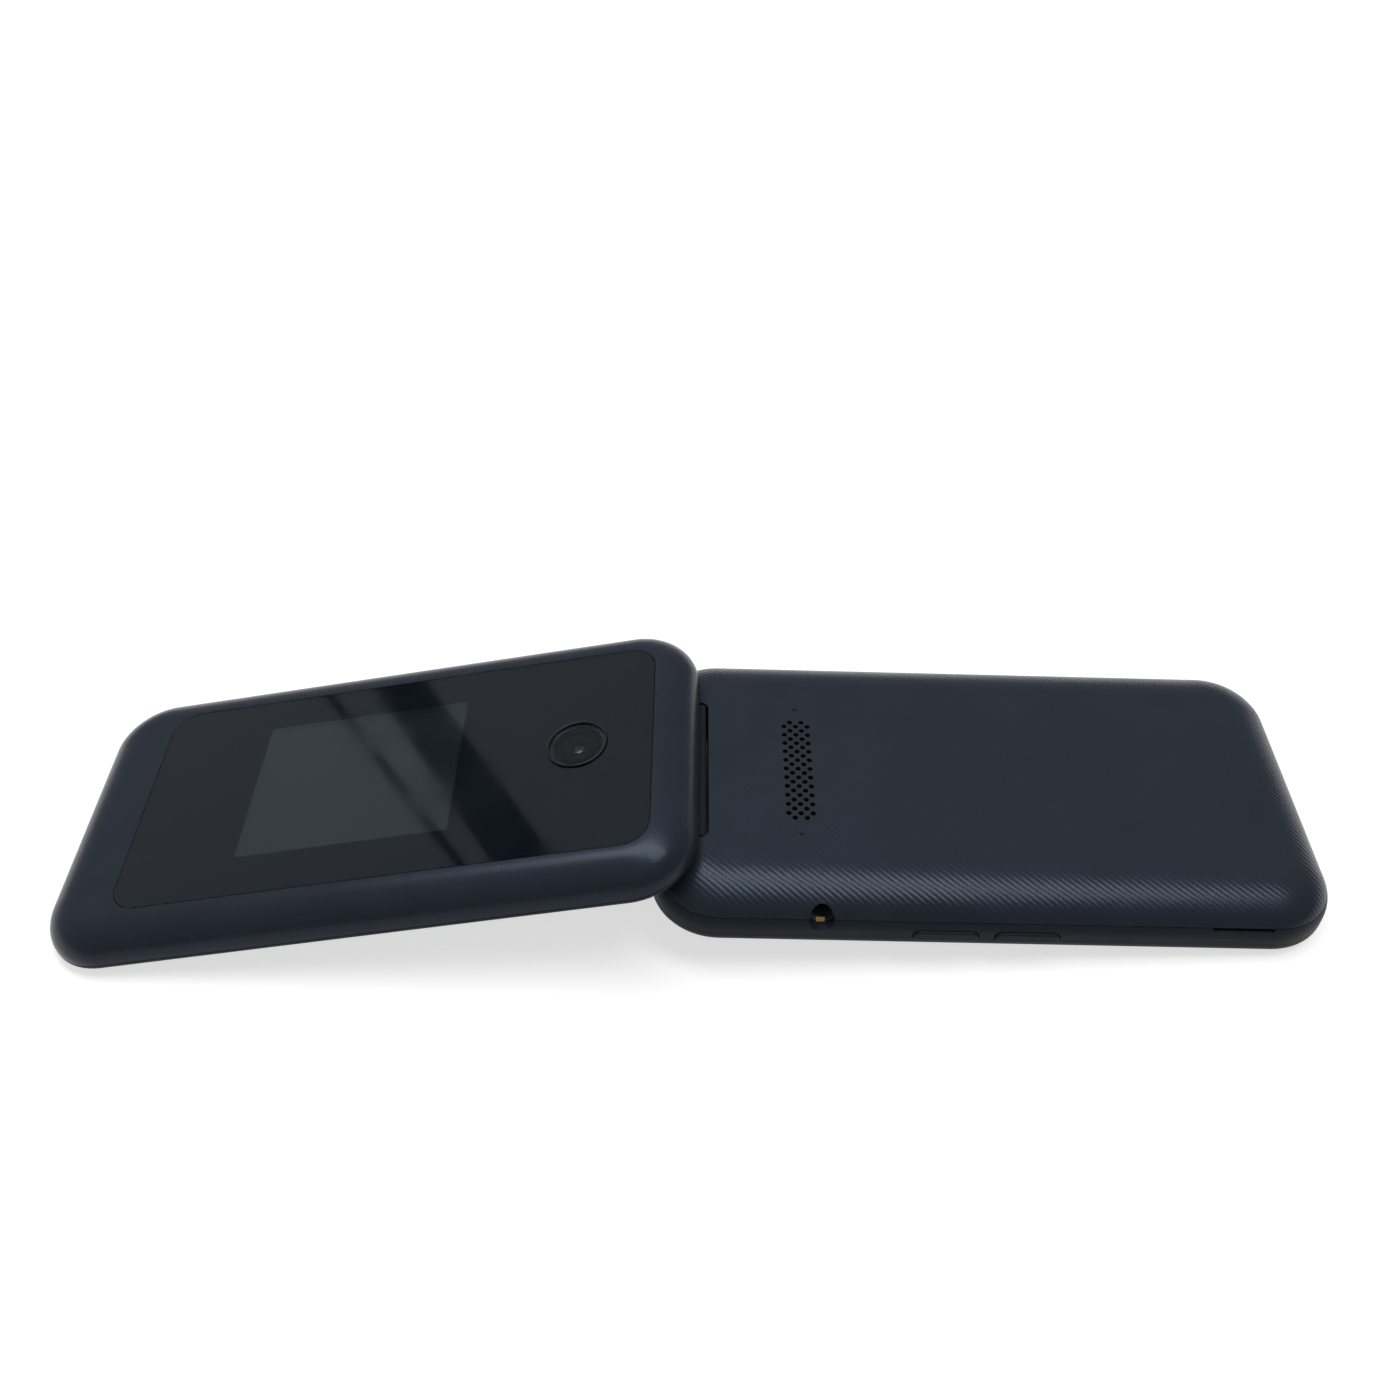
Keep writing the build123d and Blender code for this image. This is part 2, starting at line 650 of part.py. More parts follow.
# Chassis: the tray behind the board, with a rim, a bay for the battery and seats for the rest
battery_x = (battery_start + battery_end) / 2
bay_inside = 3 * fit_gap
jack_socket_y = -housing_side + fit_gap + jack_socket_length / 2
chassis_start = notch_reach + bay_wall + fit_gap
cover_draw = shoulder_inset(
    cover_inside - rim_top, shoulder_width - cover_wall, shoulder_height - cover_wall
)
rim_inset = max(
    cover_wall + cover_draw + 3 * fit_gap,
    housing_wall + key_flange + volume_travel + 2 * fit_gap,
)
with BuildPart() as chassis:
    extrude(outline(rim_inset).moved(Location((0, 0, floor_front))), amount=rim_top - floor_front)
    extrude(
        outline(rim_inset + chassis_rim).moved(Location((0, 0, floor_back))),
        amount=chassis_rim_height,
        mode=Mode.SUBTRACT,
    )
    split(bisect_by=Plane.YZ.offset(chassis_start), keep=Keep.TOP)
    # Battery bay, open towards its contacts, and the loudspeaker's seat
    with BuildSketch(Plane.XY.offset(floor_back)) as bay:
        for bay_x, length, width, gap in (
            (battery_x, battery_length, battery_width, bay_inside),
            (grille_x, speaker_length, speaker_width, fit_gap),
        ):
            with Locations((bay_x, 0)):
                RectangleRounded(
                    length + 2 * (gap + bay_wall), width + 2 * (gap + bay_wall), bay_corner + bay_wall
                )
                RectangleRounded(length + 2 * gap, width + 2 * gap, bay_corner, mode=Mode.SUBTRACT)
        with Locations((battery_start, 0)):
            Rectangle(3 * bay_wall, contact_block_width + 2 * bay_wall, mode=Mode.SUBTRACT)
    extrude(amount=bay_height)
    # Cuts for the audio jack's and the charging sockets, and holes for the screws
    with BuildSketch(Plane.XY.offset(floor_front)) as socket_cuts:
        with Locations((jack_x, jack_socket_y)):
            Rectangle(jack_socket_width + 2 * fit_gap, jack_socket_length + 2 * fit_gap)
        with Locations((usb_back + usb_length / 2, 0)):
            Rectangle(usb_length + 4 * fit_gap, usb_width + 4 * fit_gap)
        with Locations(*base_screw_places):
            Circle(screw_radius + fit_gap)
    extrude(amount=bay_height + chassis_floor, mode=Mode.SUBTRACT)
chassis.part.label = "chassis"

with BuildPart() as base_screws:
    with BuildSketch(Plane.XY.offset(floor_back)) as base_screw_heads:
        with Locations(*base_screw_places):
            Circle(screw_head_radius)
    extrude(amount=screw_head_height)
    chamfer(base_screws.faces().sort_by(Axis.Z)[-6:].edges(), screw_head_height / 4)
    with BuildSketch(Plane.XY.offset(floor_back)) as base_screw_shanks:
        with Locations(*base_screw_places):
            Circle(screw_radius - fit_gap / 4)
    extrude(amount=plate_back + fit_gap - floor_back)
    with BuildSketch(Plane.XY.offset(floor_back + screw_head_height)) as base_screw_slots:
        with Locations(*base_screw_places):
            Rectangle(1.6 * screw_head_radius, screw_head_radius / 4)
            Rectangle(screw_head_radius / 4, 1.6 * screw_head_radius)
    extrude(amount=-screw_head_height / 2, mode=Mode.SUBTRACT)
base_screws.part.label = "base_screws"

# Audio jack's socket: a block with a blind bore, rounded off inside the rear cover's shoulder,
# and a sprung contact let into the bore's wall
jack_face = -housing_side + fit_gap
clear_wall = cover_wall + fit_gap
with BuildPart() as audio_jack_socket:
    with BuildSketch(Plane.XZ.offset(-jack_face)) as socket_block:
        with Locations((jack_x, seam)):
            Rectangle(jack_socket_width, 2 * (seam - board_back))
    extrude(amount=-jack_socket_length)
    add(
        rounded_half(
            front, back - clear_wall, shoulder_width - clear_wall, shoulder_height - clear_wall, clear_wall
        ),
        mode=Mode.INTERSECT,
    )
    with BuildSketch(Plane.XZ.offset(-jack_face)) as socket_bore:
        with Locations((jack_x, seam)):
            Circle(jack_bore)
    extrude(amount=-jack_depth, mode=Mode.SUBTRACT)
    with BuildSketch(Plane.XZ.offset(-jack_face)) as contact_slot:
        with Locations((jack_x, seam)):
            Rectangle(
                jack_contact_width, seam - board_back, align=(Align.CENTER, Align.MAX)
            )
    extrude(amount=-jack_contact_length, mode=Mode.SUBTRACT)
audio_jack_socket.part.label = "audio_jack_socket"

contact_top = seam - jack_bore + jack_contact_rise
with BuildPart() as jack_contact:
    with BuildSketch(Plane.YZ.offset(jack_x)) as contact_profile:
        with BuildLine():
            Polyline(
                (jack_face + jack_contact_slope[0], board_back),
                (jack_face + jack_contact_slope[1], contact_top),
                (jack_face + jack_contact_length, contact_top),
                (jack_face + jack_contact_length, board_back),
                close=True,
            )
        make_face()
    extrude(amount=jack_contact_width / 2, both=True)
jack_contact.part.label = "jack_contact"

# Charging socket: a folded metal shell with a tongue inside
with BuildPart() as usb_socket:
    with BuildSketch(Plane.YZ.offset(usb_back)) as usb_outside:
        with Locations((0, front + usb_level)):
            RectangleRounded(usb_width, usb_height, usb_height / 3)
    extrude(amount=usb_length)
    with BuildSketch(Plane.YZ.offset(usb_back + usb_shell)) as usb_inside:
        with Locations((0, front + usb_level)):
            RectangleRounded(
                usb_width - 2 * usb_shell, usb_height - 2 * usb_shell, usb_height / 3 - usb_shell
            )
    extrude(amount=usb_length, mode=Mode.SUBTRACT)
    with BuildSketch(Plane.YZ.offset(usb_back)) as usb_tongue:
        with Locations((0, front + usb_level + usb_height / 6)):
            Rectangle(usb_width / 2, usb_height / 4)
    extrude(amount=usb_length - usb_shell)
usb_socket.part.label = "usb_socket"

with BuildPart() as microphone:
    with BuildSketch(Plane.XY.offset(board_front)) as mic_can:
        with Locations(mic_place):
            RectangleRounded(*mic_size, mic_corner)
    extrude(amount=plate_back + 3 * fit_gap - board_front)
microphone.part.label = "microphone"

# Side switches that the volume keys press
switch_back = housing_side - fit_gap / 2 - key_flange - volume_travel - fit_gap
with BuildPart() as side_switches:
    with BuildSketch(Plane.XZ.offset(board_width / 2 + fit_gap)) as switch_cans:
        with Locations(*[(x, volume_level_z + 2 * fit_gap) for x in volume_x]):
            RectangleRounded(volume_length / 2, 0.9 * volume_height, mic_corner)
    extrude(amount=switch_back - board_width / 2 - fit_gap)
side_switches.part.label = "side_switches"

# Battery, with rounded long edges, and the sprung contacts at its end
with BuildPart() as battery:
    with BuildSketch(Plane.XY.offset(floor_back + fit_gap)) as pack:
        with Locations((battery_x, 0)):
            RectangleRounded(battery_length, battery_width, battery_corner)
    extrude(amount=cover_inside - floor_back - 2 * fit_gap)
    fillet(battery.edges().filter_by(Axis.X), battery_round)
    with BuildSketch(Plane.YZ.offset(battery_start)) as battery_pads:
        with Locations((0, floor_back + cover_wall)):
            with GridLocations(contact_pitch, 0, contact_count, 1):
                Rectangle(contact_pitch / 2, battery_pad_height)
    extrude(amount=battery_pad_depth, mode=Mode.SUBTRACT)
battery.part.label = "battery"

contact_block_back = battery_start - 2 * fit_gap
with BuildPart() as contact_block:
    with BuildSketch(Plane.XY.offset(floor_back)) as block_base:
        with Locations((contact_block_back - contact_block_length / 2, 0)):
            Rectangle(contact_block_length, contact_block_width)
    extrude(amount=bay_height)
    with BuildSketch(Plane.YZ.offset(contact_block_back)) as spring_slots:
        with Locations((0, floor_back + cover_wall)):
            with GridLocations(contact_pitch, 0, contact_count, 1):
                Rectangle(contact_pitch / 3, blade_slot_height)
    extrude(amount=-contact_block_length / 2, mode=Mode.SUBTRACT)
contact_block.part.label = "contact_block"

with BuildPart() as contact_springs:
    with BuildSketch(Plane.YZ.offset(contact_block_back + fit_gap)) as blades:
        with Locations((0, floor_back + cover_wall)):
            with GridLocations(contact_pitch, 0, contact_count, 1):
                Rectangle(contact_pitch / 3, blade_height)
    extrude(amount=-contact_block_length / 2 - fit_gap)
contact_springs.part.label = "contact_springs"

# Loudspeaker under the grille, and the mesh behind the grille
with BuildPart() as loudspeaker:
    with BuildSketch(Plane.XY.offset(floor_back)) as speaker_box:
        with Locations((grille_x, 0)):
            RectangleRounded(speaker_length, speaker_width, bay_corner)
    extrude(amount=speaker_height)
    with BuildSketch(Plane.XY.offset(floor_back + speaker_height)) as speaker_face:
        with Locations((grille_x, 0)):
            for rim, mode in ((2 * speaker_face_rim, Mode.ADD), (4 * speaker_face_rim, Mode.SUBTRACT)):
                SlotOverall(speaker_width - rim, speaker_length - rim, rotation=90, mode=mode)
    extrude(amount=-speaker_face_depth, mode=Mode.SUBTRACT)
loudspeaker.part.label = "loudspeaker"

with BuildPart() as grille_mesh:
    with BuildSketch(Plane.XY.offset(cover_inside)) as mesh_sheet:
        with Locations((grille_x, 0)):
            RectangleRounded(
                (grille_columns + 1) * grille_column_pitch, (grille_rows + 2) * grille_row_pitch, can_corner
            )
    extrude(amount=-mesh_thickness)
grille_mesh.part.label = "grille_mesh"

with BuildPart() as vibration_motor:
    with BuildSketch(Plane.XY.offset(floor_back)) as motor_can:
        with Locations(motor_place):
            Circle(motor_radius)
    extrude(amount=motor_height)
    fillet(vibration_motor.faces().sort_by(Axis.Z)[-1].edges(), motor_round)
vibration_motor.part.label = "vibration_motor"

# SIM holder: a low metal cage, open at the end where the card slides in
with BuildPart() as sim_holder:
    with BuildSketch(Plane.XY.offset(floor_back)) as cage:
        with Locations(sim_place):
            Rectangle(sim_length, sim_width)
    extrude(amount=sim_height)
    with BuildSketch(Plane.XY.offset(floor_back + usb_shell)) as card_room:
        with Locations((sim_place[0] + usb_shell, sim_place[1])):
            Rectangle(sim_length, sim_width - 2 * usb_shell)
    extrude(amount=sim_height - 2 * usb_shell, mode=Mode.SUBTRACT)
    with BuildSketch(Plane.XY.offset(floor_back + sim_height)) as cage_window:
        with Locations(sim_place):
            RectangleRounded(sim_length / 2, sim_width / 2, can_corner)
    extrude(amount=-2 * usb_shell, mode=Mode.SUBTRACT)
sim_holder.part.label = "sim_holder"

# Hinge cartridge in one ear and a plain bush in the other, both bored for the lid's pins
hinge_seats = []
for name, side in (("hinge_cartridge", 1), ("hinge_bush", -1)):
    with BuildPart() as hinge_seat:
        seat_length = hinge_bore_depth - fit_gap
        with BuildSketch(Plane.XZ.offset(-side * (half_notch + fit_gap / 2))) as seat_ring:
            Circle(hinge_bore - fit_gap / 4)
            if name == "hinge_bush":
                Circle(pin_radius + pin_clearance, mode=Mode.SUBTRACT)
        extrude(amount=-side * seat_length)
        if name == "hinge_cartridge":
            with BuildSketch(Plane.XZ.offset(-side * half_notch)) as shaft_bore:
                Circle(pin_radius + pin_clearance)
            extrude(amount=-side * (pin_in_ear + 2 * fit_gap), mode=Mode.SUBTRACT)
    hinge_seat.part.label = name
    hinge_seats.append(hinge_seat.part)

base_pieces += [
    chassis.part,
    base_screws.part,
    audio_jack_socket.part,
    jack_contact.part,
    usb_socket.part,
    microphone.part,
    side_switches.part,
    battery.part,
    contact_block.part,
    contact_springs.part,
    loudspeaker.part,
    grille_mesh.part,
    vibration_motor.part,
    sim_holder.part,
    *hinge_seats,
]

# Lid's outer cover: a shell with a bed for the glass and openings for display and camera
lid_room_width = lid_shoulder_width - lid_wall
lid_room_height = lid_shoulder_height - (lid_outer - ledge_inside)
with BuildPart() as lid_outer_cover:
    add(lid_form.part)
    split(bisect_by=Plane.XY.offset(lid_seam), keep=Keep.TOP)
    add(
        rounded_half(lid_inner, ledge_inside, lid_room_width, lid_room_height, lid_wall),
        mode=Mode.SUBTRACT,
    )
    glass_x = (glass_start + glass_end) / 2
    with BuildSketch(Plane.XY.offset(glass_bed)) as glass_bed_cut:
        with Locations((glass_x, 0)):
            RectangleRounded(
                glass_end - glass_start + 2 * glass_gap,
                glass_width + 2 * glass_gap,
                glass_corner + glass_gap,
            )
    extrude(amount=past + lid_outer - glass_bed, mode=Mode.SUBTRACT)
    window_x = (window_start + window_end) / 2
    with BuildSketch(Plane.XY.offset(glass_bed)) as ledge_openings:
        with Locations((window_x, view_y)):
            Rectangle(
                window_end - window_start + 2 * window_margin, window_width + 2 * window_margin
            )
        with Locations((camera_x, view_y)):
            Circle(ring_radius - ring_wall)
    extrude(amount=-glass_ledge - past, mode=Mode.SUBTRACT)
    # Bosses that take the lid's screws
    with BuildSketch(Plane.XY.offset(ledge_inside + glass_ledge / 2)) as cover_bosses:
        with Locations(*lid_screw_places):
            Circle(boss_radius + 2 * fit_gap)
    extrude(amount=lid_inner + lid_boss_height + fit_gap - ledge_inside - glass_ledge / 2)
    add(lid_form.part, mode=Mode.INTERSECT)
    with BuildSketch(Plane.XY.offset(lid_inner + lid_boss_height)) as cover_pilots:
        with Locations(*lid_screw_places):
            Circle(screw_radius)
    extrude(amount=ledge_inside - lid_inner - lid_boss_height, mode=Mode.SUBTRACT)
lid_outer_cover.part.label = "lid_outer_cover"

# Glass flush in the cover, on a black adhesive film with a clear window
with BuildPart() as outer_glass:
    with BuildSketch(Plane.XY.offset(glass_bed + tape_thickness)) as outer_pane:
        with Locations((glass_x, 0)):
            RectangleRounded(glass_end - glass_start, glass_width, glass_corner)
        with Locations((camera_x, view_y)):
            Circle(ring_radius + fit_gap / 2, mode=Mode.SUBTRACT)
    extrude(amount=glass_thickness)
outer_glass.part.label = "outer_glass"

with BuildPart() as outer_glass_film:
    with BuildSketch(Plane.XY.offset(glass_bed)) as outer_film:
        with Locations((glass_x, 0)):
            RectangleRounded(glass_end - glass_start, glass_width, glass_corner)
        with Locations((camera_x, view_y)):
            Circle(ring_radius + fit_gap / 2, mode=Mode.SUBTRACT)
        with Locations((window_x, view_y)):
            Rectangle(window_end - window_start, window_width, mode=Mode.SUBTRACT)
    extrude(amount=tape_thickness)
outer_glass_film.part.label = "outer_glass_film"

outer_display_top = ledge_inside - fit_gap / 2
with BuildPart() as outer_display:
    with BuildSketch(Plane.XY.offset(outer_display_top)) as outer_module:
        with Locations((window_x, view_y)):
            RectangleRounded(
                window_end - window_start + 2 * outer_display_rim,
                window_width + 2 * outer_display_rim,
                display_corner,
            )
    extrude(amount=-outer_display_thickness)
outer_display.part.label = "outer_display"

# Camera: a bright ring round its window, and the module with its lens barrel
with BuildPart() as camera_ring:
    with BuildSketch(Plane.XY.offset(glass_bed)) as ring_wall_sketch:
        with Locations((camera_x, view_y)):
            Circle(ring_radius)
            Circle(ring_radius - ring_wall, mode=Mode.SUBTRACT)
    extrude(amount=lid_outer + ring_proud - glass_bed)
    fillet(camera_ring.faces().sort_by(Axis.Z)[-1].edges(), ring_wall / 3)
    with BuildSketch(Plane.XY.offset(glass_bed)) as ring_lip_sketch:
        with Locations((camera_x, view_y)):
            Circle(ring_radius - ring_wall / 2)
            Circle(ring_radius - ring_wall - ring_lip, mode=Mode.SUBTRACT)
    extrude(amount=lid_outer - camera_window_thickness - fit_gap - glass_bed)
camera_ring.part.label = "camera_ring"

with BuildPart() as camera_window:
    with BuildSketch(Plane.XY.offset(lid_outer - camera_window_thickness - fit_gap)) as disc:
        with Locations((camera_x, view_y)):
            Circle(ring_radius - ring_wall - fit_gap / 2)
    extrude(amount=camera_window_thickness)
camera_window.part.label = "camera_window"

with BuildPart() as camera_module:
    with BuildSketch(Plane.XY.offset(lid_plate_back + fit_gap)) as camera_can:
        with Locations((camera_x, view_y)):
            RectangleRounded(camera_block, camera_block, camera_can_corner)
    extrude(amount=ledge_inside - lid_plate_back - 2 * fit_gap)
    barrel_top = lid_outer - camera_window_thickness - 3 * fit_gap
    with BuildSketch(Plane.XY.offset(ledge_inside - fit_gap)) as barrel:
        with Locations((camera_x, view_y)):
            Circle(camera_barrel)
    extrude(amount=barrel_top - ledge_inside + fit_gap)
    with Locations((camera_x, view_y, barrel_top)):
        CounterSinkHole(
            camera_pupil, camera_barrel - 4 * fit_gap, lens_depth, counter_sink_angle=camera_cone
        )
camera_module.part.label = "camera_module"

lens_bottom = barrel_top - lens_depth
with BuildPart() as camera_lens:
    with BuildSketch(Plane.XZ) as lens_section:
        with BuildLine():
            lens_face = ThreePointArc(
                (0, lens_bottom + lens_height),
                (camera_pupil / 2, lens_bottom + 0.8 * lens_height),
                (camera_pupil - fit_gap / 2, lens_bottom + fit_gap / 2),
            )
            Polyline(
                lens_face @ 1,
                (camera_pupil - fit_gap / 2, lens_bottom),
                (0, lens_bottom),
                lens_face @ 0,
            )
        make_face()
    revolve(axis=Axis.Z)
camera_lens.part.move(Location((camera_x, view_y, 0)))
camera_lens.part.label = "camera_lens"

# Lid's inner cover, with the knuckle that turns between the base's ears. The knuckle's tail
# reaches out to the notch's edge when the phone is open.
tail_x = knuckle_radius - tail_set_back
tail_z = back - tail_drop
tail_corner = tail_point(tail_x, tail_z)
tail_foot = tail_point(tail_x, sqrt(knuckle_radius**2 - tail_x**2))
tail_root = tail_point(notch_reach / 3, tail_z)
with BuildPart() as knuckle:
    with BuildSketch(Plane.XZ) as knuckle_section:
        Circle(knuckle_radius)
        with BuildLine():
            Polyline(
                (0, 0),
                tail_foot,
                tail_corner,
                tail_root,
                (tail_root[0], lid_plate_back),
                (neck_front, lid_plate_back),
                (neck_front, 0),
                close=True,
            )
        make_face()
    extrude(amount=half_knuckle, both=True)
    long_edges = knuckle.edges().filter_by(Axis.Y)
    fillet(long_edges.sort_by_distance((tail_corner[0], 0, tail_corner[1]))[0], tail_round)
    # Keyed bores for the pins
    with BuildSketch(Plane.XZ) as keyed_bore:
        Circle(pin_radius + fit_gap / 4)
        with Locations((0, pin_flat + fit_gap / 4 + pin_radius)):
            Rectangle(2 * pin_radius, 2 * pin_radius, mode=Mode.SUBTRACT)
    extrude(amount=half_knuckle, both=True, mode=Mode.SUBTRACT)

screen_x = (screen_start + screen_end) / 2
lid_rim_inset = lid_wall + shoulder_inset(
    lid_room_height - lid_rim_height, lid_room_width, lid_room_height
) + 2 * fit_gap
with BuildPart() as lid_inner_cover:
    add(lid_form.part)
    split(bisect_by=Plane.XY.offset(lid_seam), keep=Keep.BOTTOM)
    extrude(
        outline(lid_wall).moved(Location((0, 0, lid_plate_back))),
        amount=lid_thickness,
        mode=Mode.SUBTRACT,
    )
    # Rim that locates the outer cover, and bosses round the screws
    extrude(
        outline(lid_rim_inset).moved(Location((0, 0, lid_plate_back - lid_plate / 2))),
        amount=lid_plate / 2 + lid_rim_height,
    )
    extrude(
        outline(lid_rim_inset + bay_wall).moved(Location((0, 0, lid_plate_back))),
        amount=lid_rim_height,
        mode=Mode.SUBTRACT,
    )
    with BuildSketch(Plane.XY.offset(lid_plate_back)) as inner_bosses:
        with Locations(*lid_screw_places):
            Circle(lid_boss_radius)
        add(outline(lid_rim_inset), mode=Mode.INTERSECT)
    extrude(amount=lid_boss_height - lid_plate)
    add(knuckle.part)
    # Hollow for the rolled flex, with a slot up into the lid
    with BuildSketch(Plane.XZ) as flex_hollow:
        Circle(flex_bore)
        with Locations((flex_radius, lid_plate_back / 2)):
            Rectangle(flex_slot, lid_plate_back + fit_gap)
    extrude(amount=flex_width / 2 + fit_gap, both=True, mode=Mode.SUBTRACT)
    with BuildSketch(Plane.XY.offset(lid_inner)) as screen_bed:
        with Locations((screen_x, 0)):
            RectangleRounded(
                screen_end - screen_start + 2 * glass_gap,
                screen_width + 2 * glass_gap,
                screen_corner + glass_gap,
            )
    extrude(amount=glass_thickness + tape_thickness, mode=Mode.SUBTRACT)
    view_length = screen_end - screen_start - 2 * screen_border[0]
    view_width = screen_width - 2 * screen_border[1]
    with BuildSketch(Plane.XY.offset(lid_inner)) as screen_view:
        with Locations((screen_x, 0)):
            Rectangle(view_length + 2 * window_margin, view_width + 2 * window_margin)
        with Locations((earpiece_x, 0)):
            SlotOverall(earpiece_slot, earpiece_slot_width, rotation=90)
        with Locations(*lid_screw_places):
            Circle(screw_radius + fit_gap)
    extrude(amount=lid_boss_height, mode=Mode.SUBTRACT)
    with BuildSketch(Plane.XY.offset(lid_inner)) as cap_seats:
        with Locations(*lid_screw_places):
            Circle(cap_radius)
    extrude(amount=cap_thickness + screw_head_height, mode=Mode.SUBTRACT)
lid_inner_cover.part.label = "lid_inner_cover"

lid_head_level = lid_inner + cap_thickness + screw_head_height
with BuildPart() as lid_screws:
    with BuildSketch(Plane.XY.offset(lid_head_level)) as lid_screw_heads:
        with Locations(*lid_screw_places):
            Circle(screw_head_radius)
    extrude(amount=-screw_head_height)
    with BuildSketch(Plane.XY.offset(lid_head_level)) as lid_screw_shanks:
        with Locations(*lid_screw_places):
            Circle(screw_radius - fit_gap / 4)
    extrude(amount=ledge_inside - lid_head_level - 2 * fit_gap)
lid_screws.part.label = "lid_screws"

# Soft caps over the screws, a little proud: they are also the pads that the shut lid rests on
with BuildPart() as screw_caps:
    with BuildSketch(Plane.XY.offset(lid_inner - cap_proud)) as cap_discs:
        with Locations(*lid_screw_places):
            Circle(cap_radius - fit_gap / 4)
    extrude(amount=cap_thickness + cap_proud)
    fillet(screw_caps.faces().group_by(Axis.Z)[0].edges(), cap_round)
screw_caps.part.label = "screw_caps"

with BuildPart() as inner_glass:
    with BuildSketch(Plane.XY.offset(lid_inner)) as inner_pane:
        with Locations((screen_x, 0)):
            RectangleRounded(screen_end - screen_start, screen_width, screen_corner)
    extrude(amount=glass_thickness)
inner_glass.part.label = "inner_glass"

with BuildPart() as inner_glass_film:
    with BuildSketch(Plane.XY.offset(lid_inner + glass_thickness)) as inner_film:
        with Locations((screen_x, 0)):
            RectangleRounded(screen_end - screen_start, screen_width, screen_corner)
            Rectangle(view_length, view_width, mode=Mode.SUBTRACT)
    extrude(amount=tape_thickness)
inner_glass_film.part.label = "inner_glass_film"

with BuildPart() as inner_display:
    with BuildSketch(Plane.XY.offset(lid_plate_back + fit_gap / 2)) as inner_module:
        with Locations((screen_x, 0)):
            RectangleRounded(
                view_length + 2 * inner_display_margin[0],
                view_width + 2 * inner_display_margin[1],
                display_corner,
            )
    extrude(amount=inner_display_thickness)
inner_display.part.label = "inner_display"

# Lid's circuit board, cut out round the camera
with BuildPart() as lid_board:
    with BuildSketch(Plane.XY.offset(lid_board_top)) as lid_board_outline:
        with Locations(((lid_board_start + lid_board_end) / 2, 0)):
            RectangleRounded(lid_board_end - lid_board_start, lid_board_width, lid_board_corner)
        with Locations((camera_x, view_y)):
            Rectangle(camera_block + 4 * fit_gap, camera_block + 4 * fit_gap, mode=Mode.SUBTRACT)
    extrude(amount=-lid_board_thickness)
lid_board.part.label = "lid_board"

with BuildPart() as earpiece:
    with BuildSketch(Plane.XY.offset(lid_plate_back + fit_gap / 2)) as receiver:
        with Locations((earpiece_x, 0)):
            RectangleRounded(earpiece_length, earpiece_width, earpiece_corner)
    extrude(amount=earpiece_height)
earpiece.part.label = "earpiece"

# Flex ribbon: rolled once round the hinge axis, then up into the lid
with BuildPart() as hinge_flex:
    with BuildSketch(Plane.XZ) as ribbon:
        with BuildLine():
            roll = CenterArc((0, 0), flex_radius, 360 - flex_roll, flex_roll)
            Line(roll @ 1, (flex_radius, lid_board_top - lid_board_thickness - fit_gap))
        trace(line_width=flex_thickness)
    extrude(amount=flex_width / 2, both=True)
hinge_flex.part.label = "hinge_flex"

# Pins: keyed in the knuckle, round in the ear. The lid's y runs the other way from the base's.
hinge_pins = []
for name, side in (("hinge_cam_shaft", -1), ("hinge_pin", 1)):
    with BuildPart() as pin:
        with BuildSketch(Plane.XZ.offset(-side * (half_knuckle - pin_in_knuckle))) as pin_section:
            Circle(pin_radius)
        extrude(amount=-side * (pin_in_knuckle + knuckle_gap + pin_in_ear))
        with BuildSketch(Plane.XZ.offset(-side * (half_knuckle - pin_in_knuckle))) as flat_cut:
            with Locations((0, pin_flat + pin_radius)):
                Rectangle(2 * pin_radius, 2 * pin_radius)
        extrude(amount=-side * pin_in_knuckle, mode=Mode.SUBTRACT)
    pin.part.label = name
    hinge_pins.append(pin.part)

lid_pieces += [
    lid_outer_cover.part,
    outer_glass.part,
    outer_glass_film.part,
    outer_display.part,
    camera_ring.part,
    camera_window.part,
    camera_module.part,
    camera_lens.part,
    lid_inner_cover.part,
    lid_screws.part,
    screw_caps.part,
    inner_glass.part,
    inner_glass_film.part,
    inner_display.part,
    lid_board.part,
    earpiece.part,
    hinge_flex.part,
    *hinge_pins,
]

# Resting place. The surface touches the base's rounded inner edge at its free end, and the
# rounded rims of the two screw caps at the lid's free end, so the base's tilt follows from where
# those roundings lie when the phone is open.
base_foot = Vector(free_end - base_edge, front + base_edge)
lid_foot_turned = tail_point(
    lid_screw_x[1] + cap_radius - fit_gap / 4 - cap_round, lid_inner - cap_proud + cap_round
)
lid_foot = Vector(lid_foot_turned[0], lid_foot_turned[1])
apart = base_foot - lid_foot
base_tilt = atan2(apart.Y, apart.X) - asin((base_edge - cap_round) / hypot(apart.X, apart.Y))
lid_tilt = radians(stop_tilt) - base_tilt
axis_height = base_edge + base_foot.X * sin(base_tilt) - base_foot.Y * cos(base_tilt)


def resting_plane(shift, facing, tilt):
    """Plane that carries a half: hinge axis at its origin, sloping down to its free end."""
    return Plane(
        origin=(shift, volume_proud / 2, axis_height),
        x_dir=(facing * cos(tilt), 0, -sin(tilt)),
        z_dir=(facing * sin(tilt), 0, cos(tilt)),
    )


# The origin lies on the surface, under the middle of the whole length and width, counting the
# volume keys that stand out of the near side
base_reach = front_housing.part.moved(resting_plane(0, 1, base_tilt)).bounding_box().max.X
lid_reach = lid_outer_cover.part.moved(resting_plane(0, -1, lid_tilt)).bounding_box().min.X
lid_reach = min(
    lid_reach, lid_inner_cover.part.moved(resting_plane(0, -1, lid_tilt)).bounding_box().min.X
)
axis_x = -(base_reach + lid_reach) / 2
base_place = resting_plane(axis_x, 1, base_tilt)
lid_place = resting_plane(axis_x, -1, lid_tilt)

